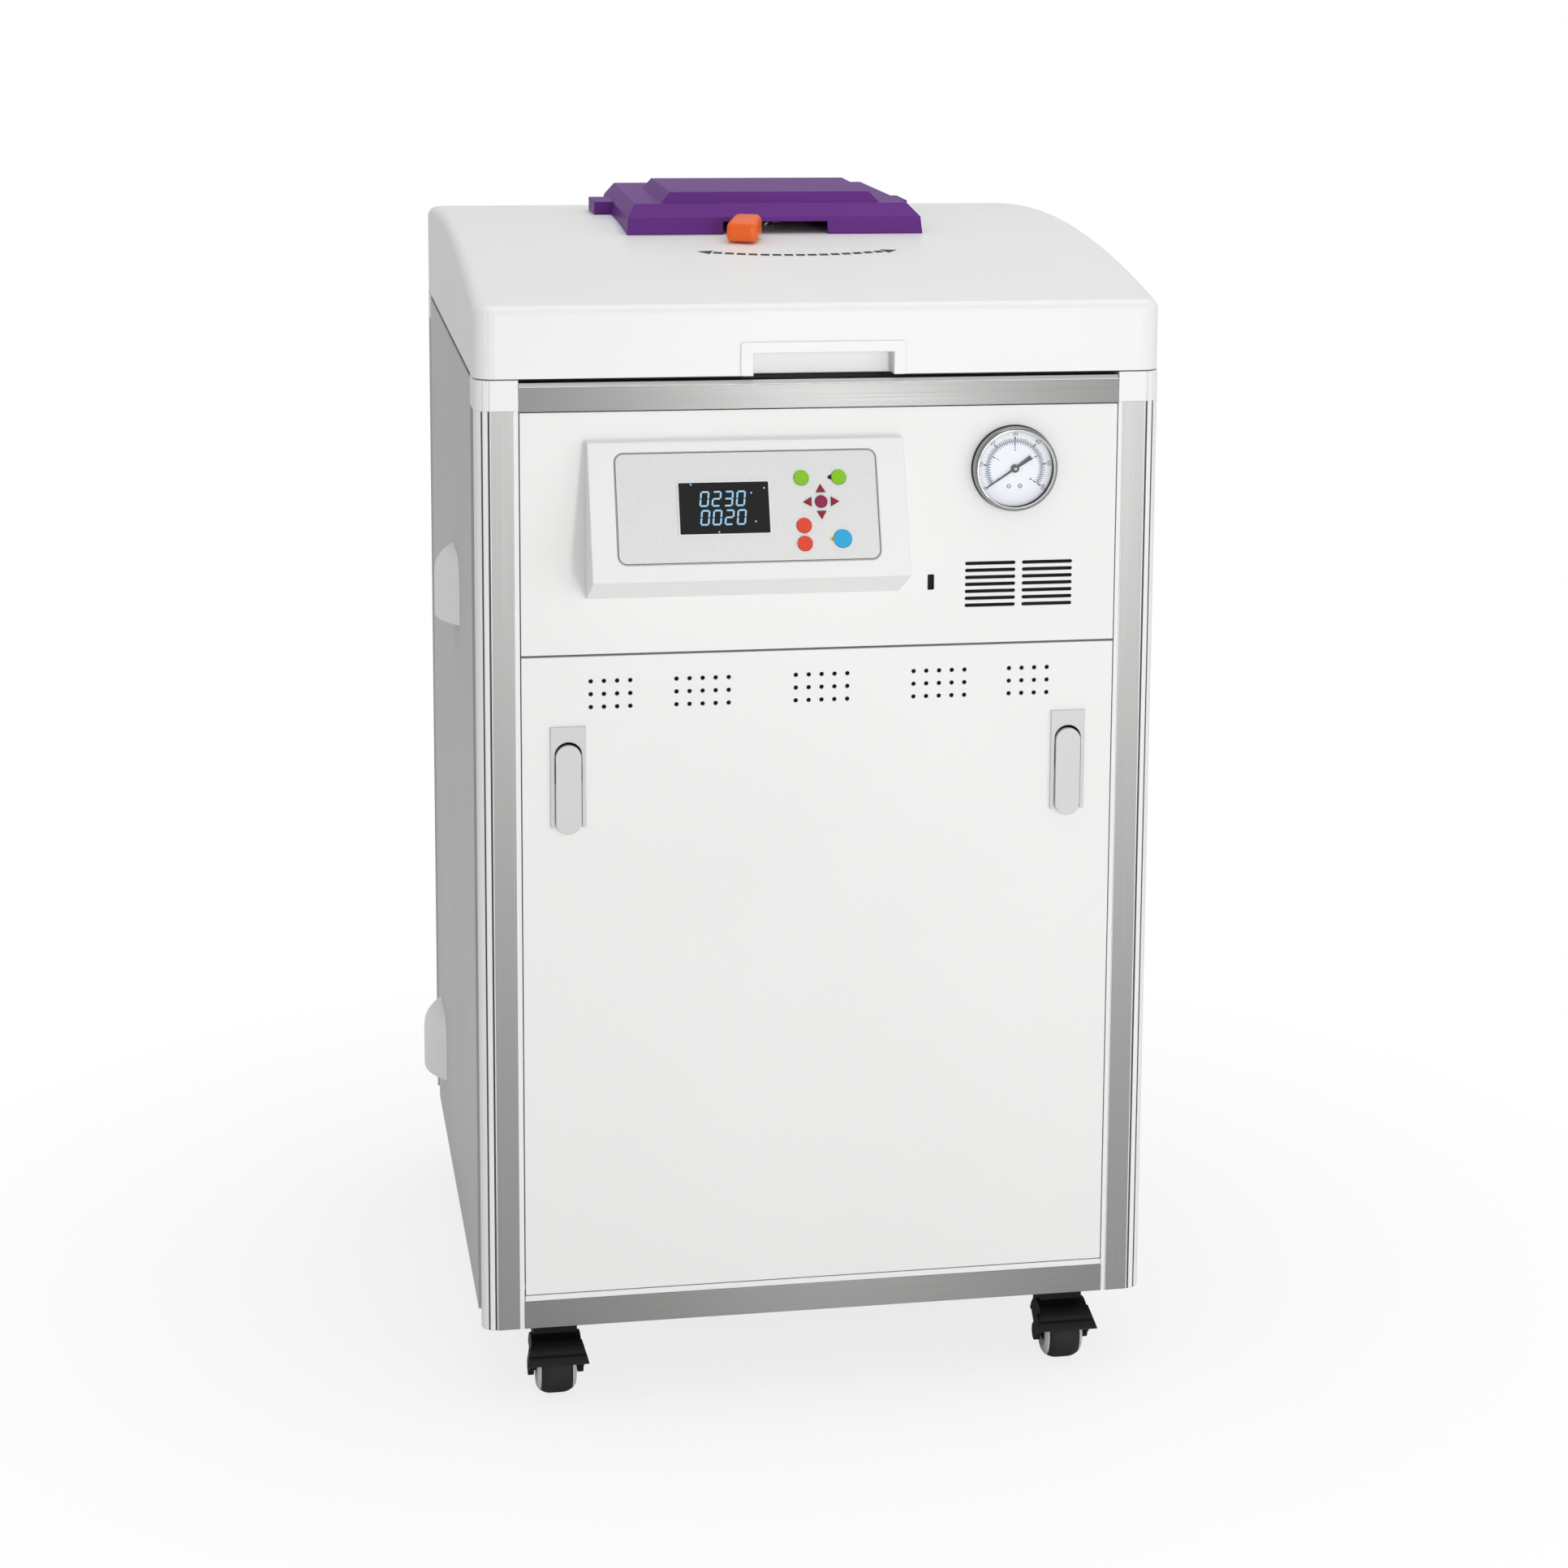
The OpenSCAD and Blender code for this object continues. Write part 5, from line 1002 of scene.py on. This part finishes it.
# %% [markdown]
# **Caster wheels.** The tyre is moulded with a round shoulder, which shows under the hood of
# the fork, so the plain wheel of the CAD model gives way to a lathed one with that curve. A
# pale nylon cover is pressed into each side and reaches over the shoulder. Both are turned on
# the same lathe and ride on the wheel.

# %% Caster wheels
TYRE_R, TYRE_HALF, SHOULDER_R, TREAD_HALF = 25.0, 17.0, 16.5, 5.0
BORE_R, HUB_R, RECESS_R, RECESS_HALF = 4.4, 8.0, 13.75, 15.5
pale_nylon = moulded_abs("pale_hub_nylon", "#cbd1cb", "#c0c6c0", 0.4, 0.6 * MM)
shoulder = [(SHOULDER_R + (TYRE_R - SHOULDER_R) * sin(a),
             TREAD_HALF + (TYRE_HALF - TREAD_HALF) * cos(a))
            for a in [radians(t) for t in range(0, 91, 10)]]
half_tyre = [(BORE_R, TYRE_HALF), (HUB_R, TYRE_HALF), (HUB_R, RECESS_HALF),
             (RECESS_R, RECESS_HALF), (RECESS_R, TYRE_HALF)] + shoulder
tyre = half_tyre + [(r, -x) for r, x in half_tyre[::-1]]
# The cover's profile as radius and height over the tyre's side
hub_cover = [(8.3, -1.8), (8.3, -0.7), (12.6, -0.8), (13.3, 0.5), (14.2, 0.9), (16.8, 1.0),
             (18.4, 0.5), (21.6, -1.8), (22.0, -2.5), (21.2, -2.9), (16.9, -0.5), (13.9, -0.5),
             (13.9, -1.8)]
for corner in ("fl", "fr", "rl", "rr"):
    low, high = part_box("caster_wheel_" + corner)
    middle = (low + high) / 2
    wheel = lathe("tyre_" + corner, tyre, middle, (1, 0, 0), tyre_rubber, "wheel_" + corner,
                  72, True)
    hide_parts("caster_wheel_" + corner)
    for s, side in ((-1, "l"), (1, "r")):
        lathe("hub_%s_%s" % (corner, side), hub_cover,
              middle + Vector((s * TYRE_HALF * MM, 0, 0)), (s, 0, 0), pale_nylon,
              "wheel_" + corner, 60, True)
print("wheels lathed: 4, hub covers: 8")

# %% [markdown]
# **Studio.** The machine stands on a pale floor that fades to pure white away from it. Only
# the camera sees the world white: everything else gets a dimmer daylight from it, so that the
# chrome and the dark mouldings keep their depth. A large soft box at the front right lights
# the panels, a wide one above lights the lid, a narrow strip draws a bright streak on the
# rails, and the left side stays darker.

# %% Floor, world and lamps
FLOOR_HALF = 9
FADE_FROM, FADE_TO, FADE_START = 0.4, 1.0, 0.8
DAYLIGHT = 0.58


def studio_floor():
    """A sheet of paper that takes the object's shadow and glows white away from it."""
    mesh = bpy.data.meshes.new("floor")
    mesh.from_pydata([(-FLOOR_HALF, -FLOOR_HALF, 0), (FLOOR_HALF, -FLOOR_HALF, 0),
                      (FLOOR_HALF, FLOOR_HALF, 0), (-FLOOR_HALF, FLOOR_HALF, 0)], [],
                     [(0, 1, 2, 3)])
    floor = bpy.data.objects.new("floor", mesh)
    bpy.context.scene.collection.objects.link(floor)
    material = bpy.data.materials.new("studio_paper")
    material.use_nodes = True
    tree = material.node_tree
    tree.nodes.clear()
    where = add_node(tree, "ShaderNodeTexCoord").outputs["Object"]
    far = add_node(tree, "ShaderNodeVectorMath", {"operation": "LENGTH"}, {0: where})
    fade = add_node(tree, "ShaderNodeMapRange", {"From Min": FADE_FROM, "From Max": FADE_TO,
                                                 "To Min": FADE_START, "To Max": 1.0},
                    {0: far.outputs[1]})
    fibre = add_node(tree, "ShaderNodeTexNoise", {"Scale": 400.0}, {"Vector": where})
    tone = add_node(tree, "ShaderNodeMix", {"data_type": "RGBA", MIX_ONE: paint("#f4f4f4"),
                                            MIX_OTHER: paint("#f0f0f0")}, {0: fibre.outputs[0]})
    paper = add_node(tree, "ShaderNodeBsdfPrincipled", {"Roughness": 0.9},
                     {"Base Color": tone.outputs[MIX_OUT]})
    white = add_node(tree, "ShaderNodeEmission", {"Color": (1, 1, 1, 1), "Strength": 1.0})
    ray = add_node(tree, "ShaderNodeLightPath")
    share = both(tree, ray.outputs["Is Camera Ray"], fade.outputs[0])
    mix = add_node(tree, "ShaderNodeMixShader",
                   links={0: share, 1: paper.outputs[0], 2: white.outputs[0]})
    add_node(tree, "ShaderNodeOutputMaterial", links={"Surface": mix.outputs[0]})
    mesh.materials.append(material)


def studio_world(daylight):
    """White for the camera, and a dimmer light for everything else."""
    world = bpy.data.worlds.new("studio")
    bpy.context.scene.world = world
    world.use_nodes = True
    tree = world.node_tree
    tree.nodes.clear()
    ray = add_node(tree, "ShaderNodeLightPath")
    strength = add_node(tree, "ShaderNodeMapRange", {"To Min": daylight, "To Max": 1.0},
                        {0: ray.outputs["Is Camera Ray"]})
    sky = add_node(tree, "ShaderNodeBackground", {"Color": (1, 1, 1, 1)},
                   {"Strength": strength.outputs[0]})
    add_node(tree, "ShaderNodeOutputWorld", links={"Surface": sky.outputs[0]})


def soft_box(name, spot, target, width, height, watts):
    """A rectangular lamp at a spot, turned to a target."""
    data = bpy.data.lights.new(name, "AREA")
    data.shape, data.size, data.size_y, data.energy = "RECTANGLE", width, height, watts
    lamp = bpy.data.objects.new(name, data)
    lamp.location = spot
    lamp.rotation_euler = (Vector(target) - Vector(spot)).to_track_quat("-Z", "Y").to_euler()
    bpy.context.scene.collection.objects.link(lamp)


studio_floor()
studio_world(DAYLIGHT)
soft_box("front_box", (1.5, -3.4, 0.45), (0, 0, 0.22), 4.2, 3.0, 37)
soft_box("top_box", (0.3, 0.2, 3.4), (0, 0, 0.8), 2.6, 2.6, 28)
soft_box("strip_box", (0.55, -3.6, 0.5), (0, 0, 0.5), 0.2, 2.4, 26)
bpy.context.scene.view_settings.view_transform = "Standard"
print("lamps:", len(bpy.data.lights))

# %% Finish
print("scene built")
